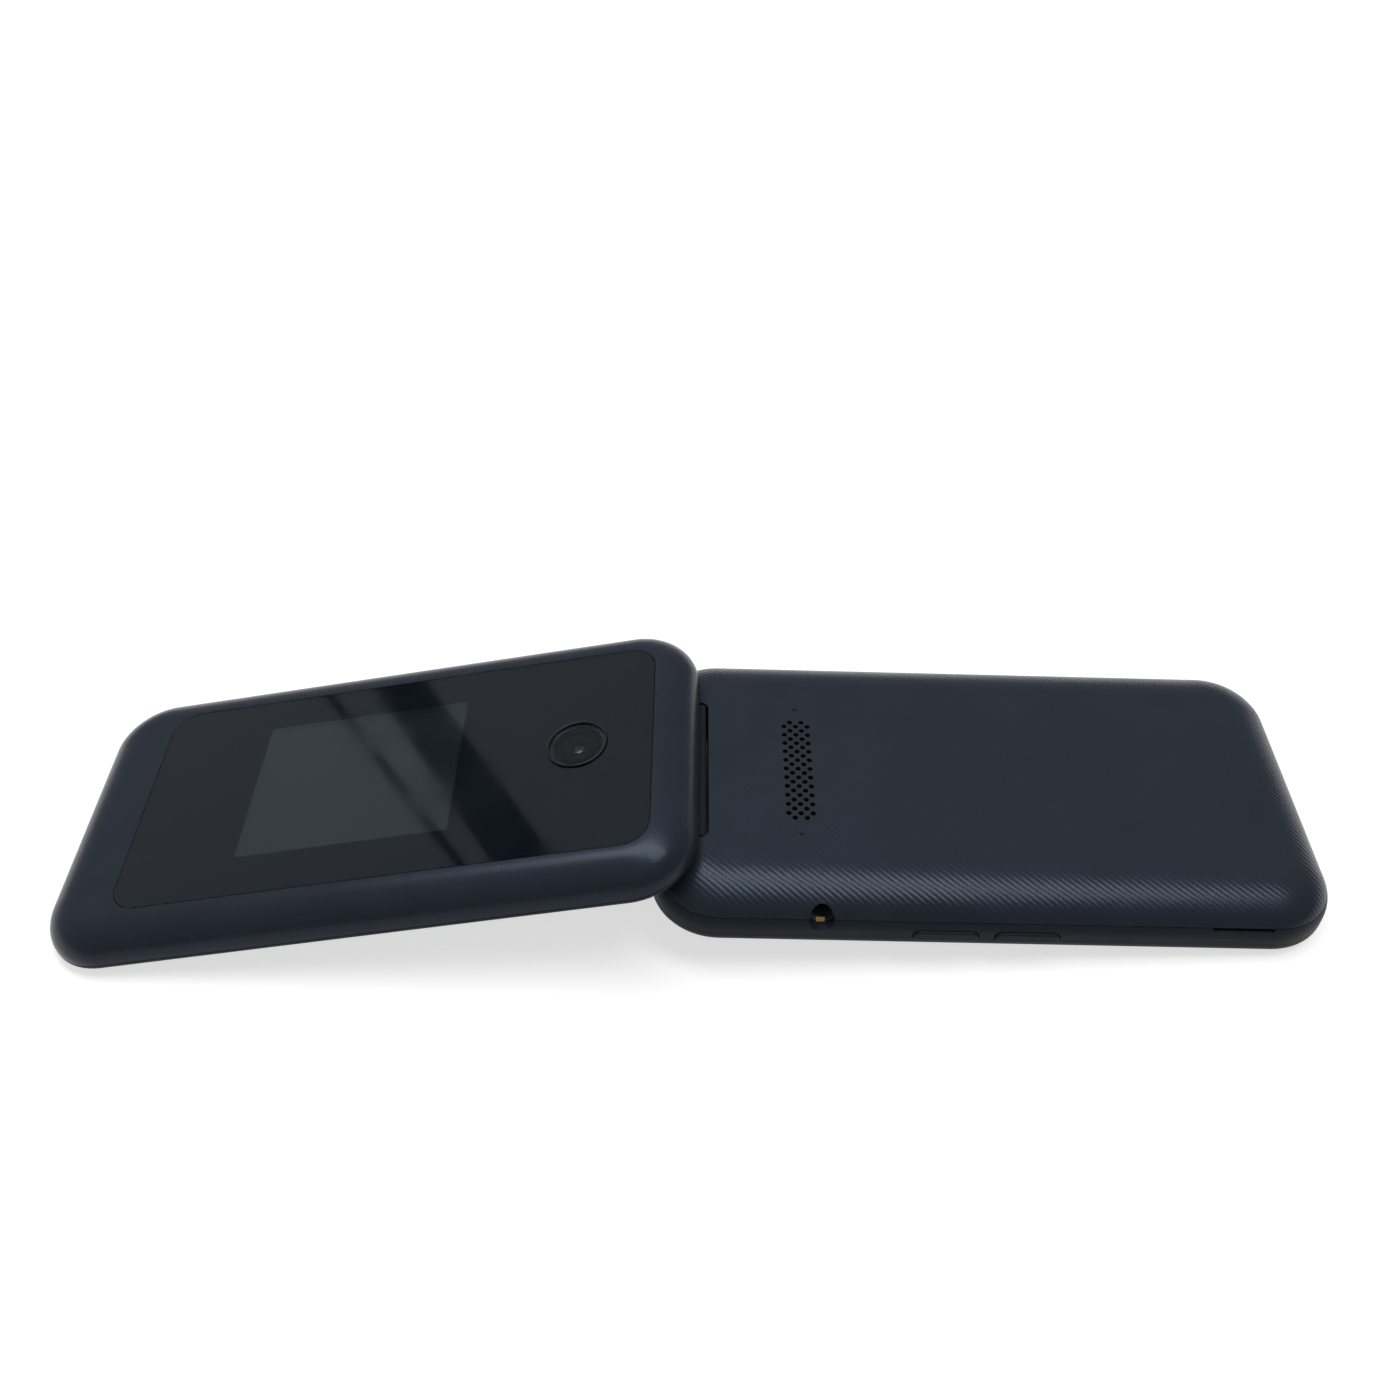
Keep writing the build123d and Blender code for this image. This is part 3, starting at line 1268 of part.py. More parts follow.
os.makedirs("parts", exist_ok=True)
for place, pieces in ((base_place, base_pieces), (lid_place, lid_pieces)):
    for piece in pieces:
        piece.move(place.location)
        export_step(piece, f"parts/{piece.label}.step")

print(f"hinge axis at x {axis_x:.4f}, z {axis_height:.4f} mm")
print(f"base tilt {degrees(base_tilt):.4f}, lid tilt {degrees(lid_tilt):.4f} degrees")
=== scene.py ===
import json
from math import atan2, cos, pi, radians, sin

import bmesh
import bpy
from bpy.props import FloatProperty, FloatVectorProperty, IntProperty, PointerProperty
from mathutils import Matrix, Vector


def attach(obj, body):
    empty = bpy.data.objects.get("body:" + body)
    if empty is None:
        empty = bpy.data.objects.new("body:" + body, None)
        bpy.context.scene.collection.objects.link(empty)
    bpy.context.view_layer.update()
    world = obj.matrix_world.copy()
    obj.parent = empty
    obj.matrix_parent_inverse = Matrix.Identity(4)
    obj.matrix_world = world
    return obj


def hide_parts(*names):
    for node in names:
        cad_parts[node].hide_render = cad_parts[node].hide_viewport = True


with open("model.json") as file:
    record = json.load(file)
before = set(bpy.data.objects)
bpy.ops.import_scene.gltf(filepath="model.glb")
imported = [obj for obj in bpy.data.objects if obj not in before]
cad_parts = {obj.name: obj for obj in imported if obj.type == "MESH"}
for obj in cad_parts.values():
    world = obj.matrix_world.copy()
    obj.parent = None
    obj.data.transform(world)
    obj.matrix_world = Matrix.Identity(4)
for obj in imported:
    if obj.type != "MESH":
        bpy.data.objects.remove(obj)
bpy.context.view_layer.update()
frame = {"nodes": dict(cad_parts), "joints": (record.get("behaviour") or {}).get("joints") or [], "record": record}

bl_info = {
    "name": "Flip Phone Finishes",
    "version": (1, 0, 0),
    "blender": (4, 5, 0),
    "location": "View3D > Sidebar > Flip Phone",
    "description": "Finishes, key legends and speaker cloths of an open flip phone",
    "category": "Object",
}

MM = 0.001
JOINTS = {joint["name"]: joint for joint in frame["joints"]}
HINGE = Vector(JOINTS["lid_hinge"]["pos_m"])
OPEN_ANGLE = radians(JOINTS["lid_hinge"]["range_deg"][1])
BACK_NORMAL = Vector(JOINTS["key_5_press"]["axis"])
BASE_TILT = atan2(BACK_NORMAL.x, BACK_NORMAL.z)
LID_TILT = pi - OPEN_ANGLE - BASE_TILT

# Each half's own axes: x from the hinge to its free end, z out of its outer face
BASE_TURN = (0.0, BASE_TILT, 0.0)
LID_TURN = (0.0, LID_TILT, pi)
BASE_AXES = Matrix.Translation(HINGE) @ Matrix.Rotation(BASE_TILT, 4, "Y")
LID_AXES = (
    Matrix.Translation(HINGE) @ Matrix.Rotation(pi, 4, "Z") @ Matrix.Rotation(LID_TILT, 4, "Y")
)

# Cool tints of what the dark covers and the panes mirror
SHEEN_TINT = (0.66, 0.80, 1.0)
GLASS_TINT = (0.74, 0.88, 1.0)

STEEL = (0.60, 0.60, 0.59)
GOLD = (0.83, 0.58, 0.20)
COPPER = (0.75, 0.50, 0.22)
SOLDER_MASK = (0.010, 0.060, 0.030)

# How far a pane's back is moved, so that it isn't flush with what is behind it, in metres
PANE_HAIR = 0.00001

# Cells per millimetre of the pattern that places specks of dust
SPECK_CELLS = 0.16

# What is printed on each number key: the digit and its letters
NUMBER_LEGENDS = {
    "key_1": ("1", ""),
    "key_2": ("2", "ABC"),
    "key_3": ("3", "DEF"),
    "key_4": ("4", "GHI"),
    "key_5": ("5", "JKL"),
    "key_6": ("6", "MNO"),
    "key_7": ("7", "PQRS"),
    "key_8": ("8", "TUV"),
    "key_9": ("9", "WXYZ"),
    "key_0": ("0", "+"),
    "key_star": ("*", ""),
    "key_hash": ("#", ""),
}

# What is printed on two other keys, and its size as a share of the digits'
WORD_LEGENDS = {"clear_key": ("C", 0.75), "ok_key": ("OK", 0.55)}
SOFT_KEYS = ("soft_left", "soft_right")

# Inner and outer radius of the printed signs' curved bars, in metres
HANDSET_BOW = (0.00210, 0.00275)
HANDSET_ENDS = (0.00150, 0.00290)
RING_MARK = (0.0074, 0.0078)
SOFT_MARK = (0.0128, 0.0132)

# Half the angle that a curved mark spans, in radians
RING_REACH = 0.10
SOFT_REACH = 0.13

# Length and width of the cloth in the earpiece slot, in metres
EARPIECE_CLOTH = (0.0013, 0.0087)

# Gold strips on the charging socket's tongue, in metres: size, step and place behind the mouth
STRIP_SIZE = (0.0032, 0.00030, 0.00004)
STRIP_PITCH = 0.00065
STRIP_SETBACK = 0.0024

# Emission that brings the floor to white for the camera and for what mirrors it
FLOOR_LIFT = 0.66

# Middle and reach of the painted shadow on the floor that the hinge's open gap mirrors, in metres
PAINTED_SHADOW_SPOT = (0.005, 0.0095, 0)
PAINTED_SHADOW_REACH = (0.016, 0.021, 1)

# Soft lamp overhead, in metres
LAMP_PLACE = (0.05, 0.11, 0.95)
LAMP_TURN = radians(-36)
LAMP_SIZE = (1.24, 0.32)

# How much stronger the sky is along each axis
SKY_SLANT = Vector((-0.40, 0.35, 0))

# Dark beams overhead, as the lid's pane mirrors them: where the outer edge crosses the far and
# the near side, and the width, in metres from the hinge
BEAM_HEIGHT = 0.8
BEAM_OVERHANG = 0.01
BEAMS = {"wide_beam": (0.0585, 0.0205, 0.0095), "thin_beam": (0.0686, 0.0253, 0.0018)}

# Camera fitted to the phone's outlines: its right, up and back, and its place from the hinge
CAMERA_AXES = (
    (0.9995, 0.001444, -0.031598), (0.021837, 0.691187, 0.722346), (0.022883, -0.722674, 0.69081)
)
CAMERA_PLACE = Vector((0.008955, -0.160978, 0.173316))


def own_box(node, axes):
    """Lowest and highest corner of a CAD node along a half's own axes, in metres."""
    back = axes.inverted()
    places = [back @ vertex.co for vertex in frame["nodes"][node].data.vertices]
    lowest = Vector([min(place[i] for place in places) for i in range(3)])
    highest = Vector([max(place[i] for place in places) for i in range(3)])
    return lowest, highest


def body_of_node(node):
    """Name of the body that a CAD node rides on."""
    for body, nodes in frame["record"]["behaviour"]["bodies"].items():
        if node in nodes:
            return body
    raise ValueError(f"no body carries {node}")


# Settings


class CaseSettings(bpy.types.PropertyGroup):
    cover_colour: FloatVectorProperty(
        name="Cover colour", description="Rear cover and lid cover", subtype="COLOR",
        size=3, min=0, max=1, default=(0.0180, 0.0222, 0.0325),
    )
    housing_colour: FloatVectorProperty(
        name="Housing colour", description="Front housing, lid frame and side keys",
        subtype="COLOR", size=3, min=0, max=1, default=(0.0115, 0.0140, 0.0170),
    )
    grain_size: FloatProperty(
        name="Grain size", description="Size of the moulded grain", subtype="DISTANCE",
        unit="LENGTH", default=0.00022, min=0.00005,
    )
    grain_depth: FloatProperty(
        name="Grain depth", description="Depth of the moulded grain", subtype="DISTANCE",
        unit="LENGTH", default=0.000012, min=0,
    )
    ridge_pitch: FloatProperty(
        name="Ridge pitch", description="Step along the phone between the rear cover's ridges",
        subtype="DISTANCE", unit="LENGTH", default=0.00121, min=0.0003,
    )
    ridge_depth: FloatProperty(
        name="Ridge depth", description="Depth of the slanting ridges of the rear cover",
        subtype="DISTANCE", unit="LENGTH", default=0.00003, min=0,
    )


class PaneSettings(bpy.types.PropertyGroup):
    film_colour: FloatVectorProperty(
        name="Film colour", description="Black print behind the panes", subtype="COLOR",
        size=3, min=0, max=1, default=(0.0042, 0.0080, 0.0150),
    )
    display_colour: FloatVectorProperty(
        name="Display colour", description="Unlit displays", subtype="COLOR",
        size=3, min=0, max=1, default=(0.0120, 0.0185, 0.0200),
    )
    smudge: FloatProperty(
        name="Smudge", description="How much finger smudges roughen the panes",
        default=0.05, min=0, max=0.3,
    )


class KeypadSettings(bpy.types.PropertyGroup):
    legend_colour: FloatVectorProperty(
        name="Legend colour", description="Print on the keys", subtype="COLOR",
        size=3, min=0, max=1, default=(0.75, 0.77, 0.78),
    )
    call_colour: FloatVectorProperty(
        name="Call colour", description="Sign on the call key", subtype="COLOR",
        size=3, min=0, max=1, default=(0.05, 0.46, 0.12),
    )
    end_colour: FloatVectorProperty(
        name="End colour", description="Sign on the end key", subtype="COLOR",
        size=3, min=0, max=1, default=(0.56, 0.035, 0.030),
    )
    digit_size: FloatProperty(
        name="Digit size", description="Type size of the digits", subtype="DISTANCE",
        unit="LENGTH", default=0.0060, min=0.001,
    )
    letter_size: FloatProperty(
        name="Letter size", description="Type size of the letters", subtype="DISTANCE",
        unit="LENGTH", default=0.0025, min=0.0005,
    )
    legend_gap: FloatProperty(
        name="Legend gap", description="Room between a key's digit and its letters",
        subtype="DISTANCE", unit="LENGTH", default=0.0007, min=0,
    )
    print_thickness: FloatProperty(
        name="Print thickness", description="How far the print stands on the caps",
        subtype="DISTANCE", unit="LENGTH", default=0.00002, min=0,
    )


class ClothSettings(bpy.types.PropertyGroup):
    wire_pitch: FloatProperty(
        name="Wire pitch", description="Step of the woven speaker cloths", subtype="DISTANCE",
        unit="LENGTH", default=0.00036, min=0.0001,
    )
    wire_radius: FloatProperty(
        name="Wire radius", description="Radius of a wire of the cloths", subtype="DISTANCE",
        unit="LENGTH", default=0.00006, min=0.00001,
    )
    contact_count: IntProperty(
        name="Contacts", description="Contacts on the charging socket's tongue",
        default=5, min=1, max=12,
    )


class StageSettings(bpy.types.PropertyGroup):
    floor_colour: FloatVectorProperty(
        name="Floor colour", description="Plain pale floor", subtype="COLOR",
        size=3, min=0, max=1, default=(0.46, 0.46, 0.46),
    )
    sky_strength: FloatProperty(
        name="Sky strength", description="Even light from all round", default=0.24, min=0,
    )
    lamp_power: FloatProperty(
        name="Lamp power", description="Power of the large soft lamp overhead", unit="POWER",
        default=9.2, min=0,
    )
    lens: FloatProperty(
        name="Lens", description="Focal length of the camera in millimetres", default=36.8166,
        min=1,
    )


# Nodes


def fill(tree, node, values):
    """Links sockets to a node's inputs and sets its other inputs to plain values."""
    for key, value in dict(values).items():
        if isinstance(value, bpy.types.NodeSocket):
            tree.links.new(value, node.inputs[key])
        else:
            node.inputs[key].default_value = value


def add_node(tree, kind, values=(), **settings):
    """Adds a node, then applies its settings and fills its inputs."""
    node = tree.nodes.new(kind)
    for key, value in settings.items():
        setattr(node, key, value)
    fill(tree, node, values)
    return node


def number(tree, operation, *values, clamp=False):
    """Result of a Math node."""
    return add_node(
        tree, "ShaderNodeMath", enumerate(values), operation=operation, use_clamp=clamp
    ).outputs[0]


def scaled(tree, vector, factor):
    """A vector or colour times a factor."""
    return add_node(
        tree, "ShaderNodeVectorMath", {0: vector, "Scale": factor}, operation="SCALE"
    ).outputs[0]


def mixed(tree, factor, first, second):
    """From the first colour at a factor of nought to the second at one."""
    return add_node(
        tree, "ShaderNodeMix", {"Factor": factor, 6: first, 7: second}, data_type="RGBA"
    ).outputs[2]


def noise(tree, place, scale, detail, **more):
    """Level of a noise texture."""
    values = {"Vector": place, "Scale": scale, "Detail": detail} | more
    return add_node(tree, "ShaderNodeTexNoise", values).outputs["Fac"]


def new_group(name, kind, inputs, outputs):
    """Empty node group, with what it is given and the node of what it puts out."""
    group = bpy.data.node_groups.new(name, kind)
    new_socket = group.interface.new_socket
    for label, socket, default in inputs:
        item = new_socket(label, in_out="INPUT", socket_type="NodeSocket" + socket)
        if default is not None:
            item.default_value = default
    for label, socket in outputs:
        new_socket(label, in_out="OUTPUT", socket_type="NodeSocket" + socket)
    return group, group.nodes.new("NodeGroupInput").outputs, group.nodes.new("NodeGroupOutput")


# Shader groups


def grain_group():
    """Moulded grain: mottled colour, uneven gloss and the height of a fine grain."""
    group, given, end = new_group(
        "Moulded grain", "ShaderNodeTree",
        [
            ("Place", "Vector", None), ("Color", "Color", (0.05, 0.05, 0.05, 1)),
            ("Roughness", "Float", 0.5), ("Grains per mm", "Float", 4.5),
            ("Mottle", "Float", 0.2),
        ],
        [("Color", "Color"), ("Roughness", "Float"), ("Height", "Float")],
    )
    fine = noise(group, given["Place"], given["Grains per mm"], 2.0, Roughness=0.6)
    patch = noise(group, given["Place"], 0.11, 3.0)
    swing = number(group, "ADD", patch, -0.5)
    level = number(group, "MULTIPLY_ADD", swing, given["Mottle"], 1.0)
    # Gloss varies with the mottle and a little with the grain
    coarse = number(group, "MULTIPLY_ADD", swing, 0.16, given["Roughness"])
    speckle = number(group, "MULTIPLY_ADD", fine, 0.10, -0.05)
    fill(group, end, {
        "Color": scaled(group, given["Color"], level),
        "Roughness": number(group, "ADD", coarse, speckle, clamp=True),
        "Height": fine,
    })
    return group


def dust_group():
    """Sparse specks of dust: lightens and dulls small round spots."""
    group, given, end = new_group(
        "Dust specks", "ShaderNodeTree",
        [
            ("Place", "Vector", None), ("Color", "Color", (0.05, 0.05, 0.05, 1)),
            ("Roughness", "Float", 0.5), ("Speck radius mm", "Float", 0.14),
            ("Share", "Float", 0.2),
        ],
        [("Color", "Color"), ("Roughness", "Float")],
    )
    spots = add_node(
        group, "ShaderNodeTexVoronoi",
        {"Vector": given["Place"], "Scale": SPECK_CELLS, "Randomness": 1.0},
    ).outputs
    chance = add_node(group, "ShaderNodeSeparateColor", {0: spots["Color"]}).outputs
    chosen = number(group, "LESS_THAN", chance[0], given["Share"])
    # The texture measures in cells, so the radius is brought to cells too
    radius = number(group, "MULTIPLY", given["Speck radius mm"], SPECK_CELLS)
    size = number(group, "MULTIPLY", radius, chance[1])
    inside = number(group, "LESS_THAN", spots["Distance"], size)
    mask = number(group, "MULTIPLY", inside, chosen)
    gloss = add_node(
        group, "ShaderNodeMix", {"Factor": mask, 2: given["Roughness"], 3: 0.9},
        data_type="FLOAT",
    )
    fill(group, end, {
        "Color": mixed(group, mask, given["Color"], (0.20, 0.21, 0.22, 1)),
        "Roughness": gloss.outputs[0],
    })
    return group


def brushed_group():
    """Rolled or brushed metal: fine lines along one way in colour, gloss and height."""
    group, given, end = new_group(
        "Brushed lines", "ShaderNodeTree",
        [
            ("Place", "Vector", None), ("Color", "Color", (0.6, 0.6, 0.6, 1)),
            ("Roughness", "Float", 0.3), ("Lines per mm", "Float", 14.0),
        ],
        [("Color", "Color"), ("Roughness", "Float"), ("Height", "Float")],
    )
    stretch = add_node(
        group, "ShaderNodeMapping", {"Vector": given["Place"], "Scale": (0.04, 1.0, 1.0)}
    )
    lines = noise(group, stretch.outputs[0], given["Lines per mm"], 3.0, Roughness=0.7)
    level = number(group, "MULTIPLY_ADD", lines, 0.5, 0.75)
    fill(group, end, {
        "Color": scaled(group, given["Color"], level),
        "Roughness": number(group, "MULTIPLY_ADD", lines, 0.22, given["Roughness"], clamp=True),
        "Height": lines,
    })
    return group


# Materials


def add_group(tree, make, name, values):
    """Places a shader group, which is built once and used by many materials."""
    group = bpy.data.node_groups.get(name) or make()
    return add_node(tree, "ShaderNodeGroup", values, node_tree=group).outputs


def new_material(name, turn):
    """Material whose patterns are measured in millimetres along a half's own axes."""
    material = bpy.data.materials.new(name)
    material.use_nodes = True
    tree = material.node_tree
    place = add_node(tree, "ShaderNodeTexCoord").outputs["Object"]
    axes = add_node(
        tree, "ShaderNodeMapping",
        {"Vector": place, "Location": HINGE, "Rotation": turn, "Scale": (MM, MM, MM)},
        vector_type="TEXTURE",
    )
    return material, tree, tree.nodes["Principled BSDF"], axes.outputs["Vector"]


def add_bump(tree, shader, height, depth):
    """Feeds a height, from nought to one, to a normal at a real depth in metres."""
    bump = add_node(
        tree, "ShaderNodeBump", {"Strength": 1.0, "Distance": depth, "Height": height}
    )
    fill(tree, shader, {"Normal": bump.outputs["Normal"]})


def moulded_plastic(
    name, colour, turn=BASE_TURN, roughness=0.45, mottle=0.18, grain=4.5, depth=0.000012,
    dust=0.12, specular=0.3, tint=(1.0, 1.0, 1.0),
):
    """Moulded plastic with a fine grain, uneven gloss and a few specks of dust."""
    material, tree, shader, place = new_material(name, turn)
    moulded = add_group(tree, grain_group, "Moulded grain", {
        "Place": place, "Color": (*colour, 1), "Roughness": roughness, "Grains per mm": grain,
        "Mottle": mottle,
    })
    specks = add_group(tree, dust_group, "Dust specks", {
        "Place": place, "Color": moulded["Color"], "Roughness": moulded["Roughness"],
        "Share": dust,
    })
    fill(tree, shader, {
        "Base Color": specks["Color"], "Roughness": specks["Roughness"],
        "Specular IOR Level": specular, "Specular Tint": (*tint, 1),
    })
    if depth:
        add_bump(tree, shader, moulded["Height"], depth)
    return material


def ridged_plastic(name, colour, pitch, ridge_depth, **moulded):
    """The rear cover's plastic: slanting ridges that run over the back and down its sides."""
    material = moulded_plastic(name, colour, roughness=0.28, specular=0.25, **moulded)
    tree = material.node_tree
    place = add_node(
        tree, "ShaderNodeSeparateXYZ", {0: tree.nodes["Mapping"].outputs["Vector"]}
    ).outputs
    # Below the flat back a ridge keeps its slant along the curved shoulder
    back_level = own_box("rear_cover", BASE_AXES)[1].z / MM
    drop = number(tree, "SUBTRACT", back_level, place["Z"])
    side = add_node(
        tree, "ShaderNodeClamp",
        {"Value": number(tree, "MULTIPLY", place["Y"], 0.1), "Min": -1.0, "Max": 1.0},
    )
    wrap = number(tree, "MULTIPLY", side.outputs[0], drop)
    wrapped = number(tree, "MULTIPLY_ADD", wrap, 0.45, place["Y"])
    along = number(tree, "ADD", place["X"], wrapped)
    # Rounded ridges with a sharper valley, faint on the flat back and full on the shoulder
    turns = number(tree, "MULTIPLY", along, pi * MM / pitch)
    ridge = number(tree, "ABSOLUTE", number(tree, "SINE", turns))
    share = add_node(
        tree, "ShaderNodeMapRange",
        {"Value": drop, "From Min": 0.0, "From Max": 0.8, "To Min": 0.3, "To Max": 1.0},
    )
    height = number(tree, "MULTIPLY", ridge, share.outputs[0])
    add_bump(tree, tree.nodes["Bump"], height, ridge_depth)
    return material


def metal(name, colour, turn=BASE_TURN, roughness=0.28, lines=14.0):
    """Sheet or turned metal with fine lines."""
    material, tree, shader, place = new_material(name, turn)
    brushed = add_group(tree, brushed_group, "Brushed lines", {
        "Place": place, "Color": (*colour, 1), "Roughness": roughness, "Lines per mm": lines,
    })
    fill(tree, shader, {
        "Base Color": brushed["Color"], "Roughness": brushed["Roughness"], "Metallic": 1.0,
    })
    add_bump(tree, shader, brushed["Height"], depth=0.000004)
    return material


def clear_glass(name, tint, smudge, index):
    """Clear pane of the lid with faint finger smudges in its gloss."""
    material, tree, shader, place = new_material(name, LID_TURN)
    clean = 0.04
    rough = add_node(tree, "ShaderNodeMapRange", {
        "Value": noise(tree, place, 0.06, 3.0, Distortion=0.4),
        "From Min": 0.5, "From Max": 0.75, "To Min": clean, "To Max": clean + smudge,
    })
    fill(tree, shader, {
        "Roughness": rough.outputs[0], "Base Color": (*tint, 1), "Transmission Weight": 1.0,
        "IOR": index, "Specular Tint": (*GLASS_TINT, 1),
    })
    return material


def display_face(name, colour):
    """Unlit display: a fine grid of cells over a grey-green ground."""
    material, tree, shader, place = new_material(name, LID_TURN)
    cells = add_node(
        tree, "ShaderNodeTexBrick",
        {
            "Vector": place, "Color1": (*colour, 1),
            "Color2": (*(part * 0.94 for part in colour), 1),
            "Mortar": (*(part * 0.7 for part in colour), 1), "Scale": 1.0,
            "Mortar Size": 0.012, "Brick Width": 0.14, "Row Height": 0.14,
        },
        offset=0.0,
    )
    level = number(tree, "MULTIPLY_ADD", noise(tree, place, 0.05, 2.0), 0.3, 0.85)
    fill(tree, shader, {
        "Base Color": scaled(tree, cells.outputs["Color"], level), "Roughness": 0.35,
        "Specular IOR Level": 0.05,
    })
    return material


def circuit_board(name, turn=BASE_TURN):
    """Green solder mask with tracks and small copper pads."""
    material, tree, shader, place = new_material(name, turn)
    cells = add_node(
        tree, "ShaderNodeTexVoronoi", {"Vector": place, "Scale": 0.45}, distance="CHEBYCHEV",
        feature="F2",
    )
    steps = number(tree, "MULTIPLY", cells.outputs["Distance"], 6.0)
    track = number(tree, "GREATER_THAN", number(tree, "PINGPONG", steps, 1.0), 0.72)
    dots = add_node(
        tree, "ShaderNodeTexVoronoi", {"Vector": place, "Scale": 0.9, "Randomness": 0.6}
    )
    pad = number(tree, "LESS_THAN", dots.outputs["Distance"], 0.16)
    lighter = (*(part * 1.6 for part in SOLDER_MASK), 1)
    tracked = mixed(tree, track, (*SOLDER_MASK, 1), lighter)
    fill(tree, shader, {
        "Base Color": mixed(tree, pad, tracked, (*COPPER, 1)), "Metallic": pad,
        "Roughness": 0.35,
    })
    add_bump(tree, shader, track, depth=0.00002)
    return material


def flex_ribbon(name, base_colour, track_colour):
    """Amber flexible circuit with tracks along it."""
    material, tree, shader, place = new_material(name, BASE_TURN)
    across = add_node(tree, "ShaderNodeSeparateXYZ", {0: place}).outputs["Y"]
    steps = number(tree, "MULTIPLY", across, 2.2)
    track = number(tree, "GREATER_THAN", number(tree, "PINGPONG", steps, 1.0), 0.55)
    fill(tree, shader, {
        "Base Color": mixed(tree, track, (*base_colour, 1), (*track_colour, 1)),
        "Roughness": 0.3,
    })
    add_bump(tree, shader, track, depth=0.00001)
    return material


def finish_nodes(nodes, make, *values, **settings):
    """Makes a material and gives it to CAD nodes."""
    material = make(*values, **settings)
    for name in nodes:
        node = frame["nodes"][name]
        if not node.material_slots:
            node.data.materials.append(material)
        for slot in node.material_slots:
            slot.material = material


# Pieces


def new_object(name, data):
    """Puts an object with its data in the scene."""
    item = bpy.data.objects.new(name, data)
    bpy.context.scene.collection.objects.link(item)
    return item


def evaluated_mesh(holder):
    """Plain mesh of what an object shows; the object goes."""
    mesh = bpy.data.meshes.new_from_object(
        holder.evaluated_get(bpy.context.evaluated_depsgraph_get())
    )
    bpy.data.objects.remove(holder)
    return mesh


def new_piece(name, mesh, material, body, smooth=False):
    """Object at the origin with a finished mesh, riding on a body."""
    mesh.name = name
    mesh.materials.clear()
    mesh.materials.append(material)
    for face in mesh.polygons:
        face.use_smooth = smooth
    piece = new_object(name, mesh)
    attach(piece, body)
    return piece


def text_mesh(words, size, thickness):
    """Flat raised lettering, centred on the origin and standing on z = 0."""
    curve = bpy.data.curves.new("lettering", "FONT")
    curve.body = words
    curve.size = size
    curve.align_x = "CENTER"
    curve.align_y = "CENTER"
    curve.resolution_u = 4
    curve.extrude = thickness / 2
    mesh = evaluated_mesh(new_object("lettering", curve))
    mesh.transform(Matrix.Translation((0, 0, thickness / 2)))
    return mesh


def add_sector(form, radii, start, stop, thickness, steps=14):
    """Adds a flat curved bar between two radii and two angles, standing on z = 0."""
    inner, outer = radii
    rise = Vector((0, 0, thickness))
    rings = []
    for i in range(steps + 1):
        angle = start + (stop - start) * i / steps
        way = Vector((cos(angle), sin(angle), 0))
        corners = (way * inner, way * outer, way * outer + rise, way * inner + rise)
        rings.append([form.verts.new(corner) for corner in corners])
    for here, there in zip(rings, rings[1:]):
        for i in range(4):
            form.faces.new((here[i], here[(i + 1) % 4], there[(i + 1) % 4], there[i]))
    form.faces.new(rings[0])
    form.faces.new(list(reversed(rings[-1])))


def plain_mesh(form, name):
    """Turns a bmesh into a mesh as it is."""
    mesh = bpy.data.meshes.new(name)
    form.to_mesh(mesh)
    form.free()
    return mesh


def closed_mesh(form, name):
    """Turns a bmesh of closed shells into a mesh with faces that point outwards."""
    bmesh.ops.remove_doubles(form, verts=form.verts, dist=1e-8)
    bmesh.ops.recalc_face_normals(form, faces=form.faces)
    return plain_mesh(form, name)


def side_by_side(meshes, gap, name):
    """One mesh from several set in a row along x, centred on the origin."""
    spans = []
    for mesh in meshes:
        reach = [vertex.co.x for vertex in mesh.vertices]
        spans.append((min(reach), max(reach)))
    start = -(sum(high - low for low, high in spans) + gap * (len(spans) - 1)) / 2
    form = bmesh.new()
    for mesh, (low, high) in zip(meshes, spans):
        mesh.transform(Matrix.Translation((start - low, 0, 0)))
        form.from_mesh(mesh)
        start += high - low + gap
    return plain_mesh(form, name)


def key_face(node):
    """Place on a key's cap for print: x to the reader's right, y up, z out of the keypad."""
    lowest, highest = own_box(node, BASE_AXES)
    middle = (lowest + highest) / 2
    face = Matrix.Translation((middle.x, middle.y, lowest.z)) @ Matrix(
        ((0, -1, 0, 0), (-1, 0, 0, 0), (0, 0, -1, 0), (0, 0, 0, 1))
    )
    return BASE_AXES @ face


# Geometry Nodes trees


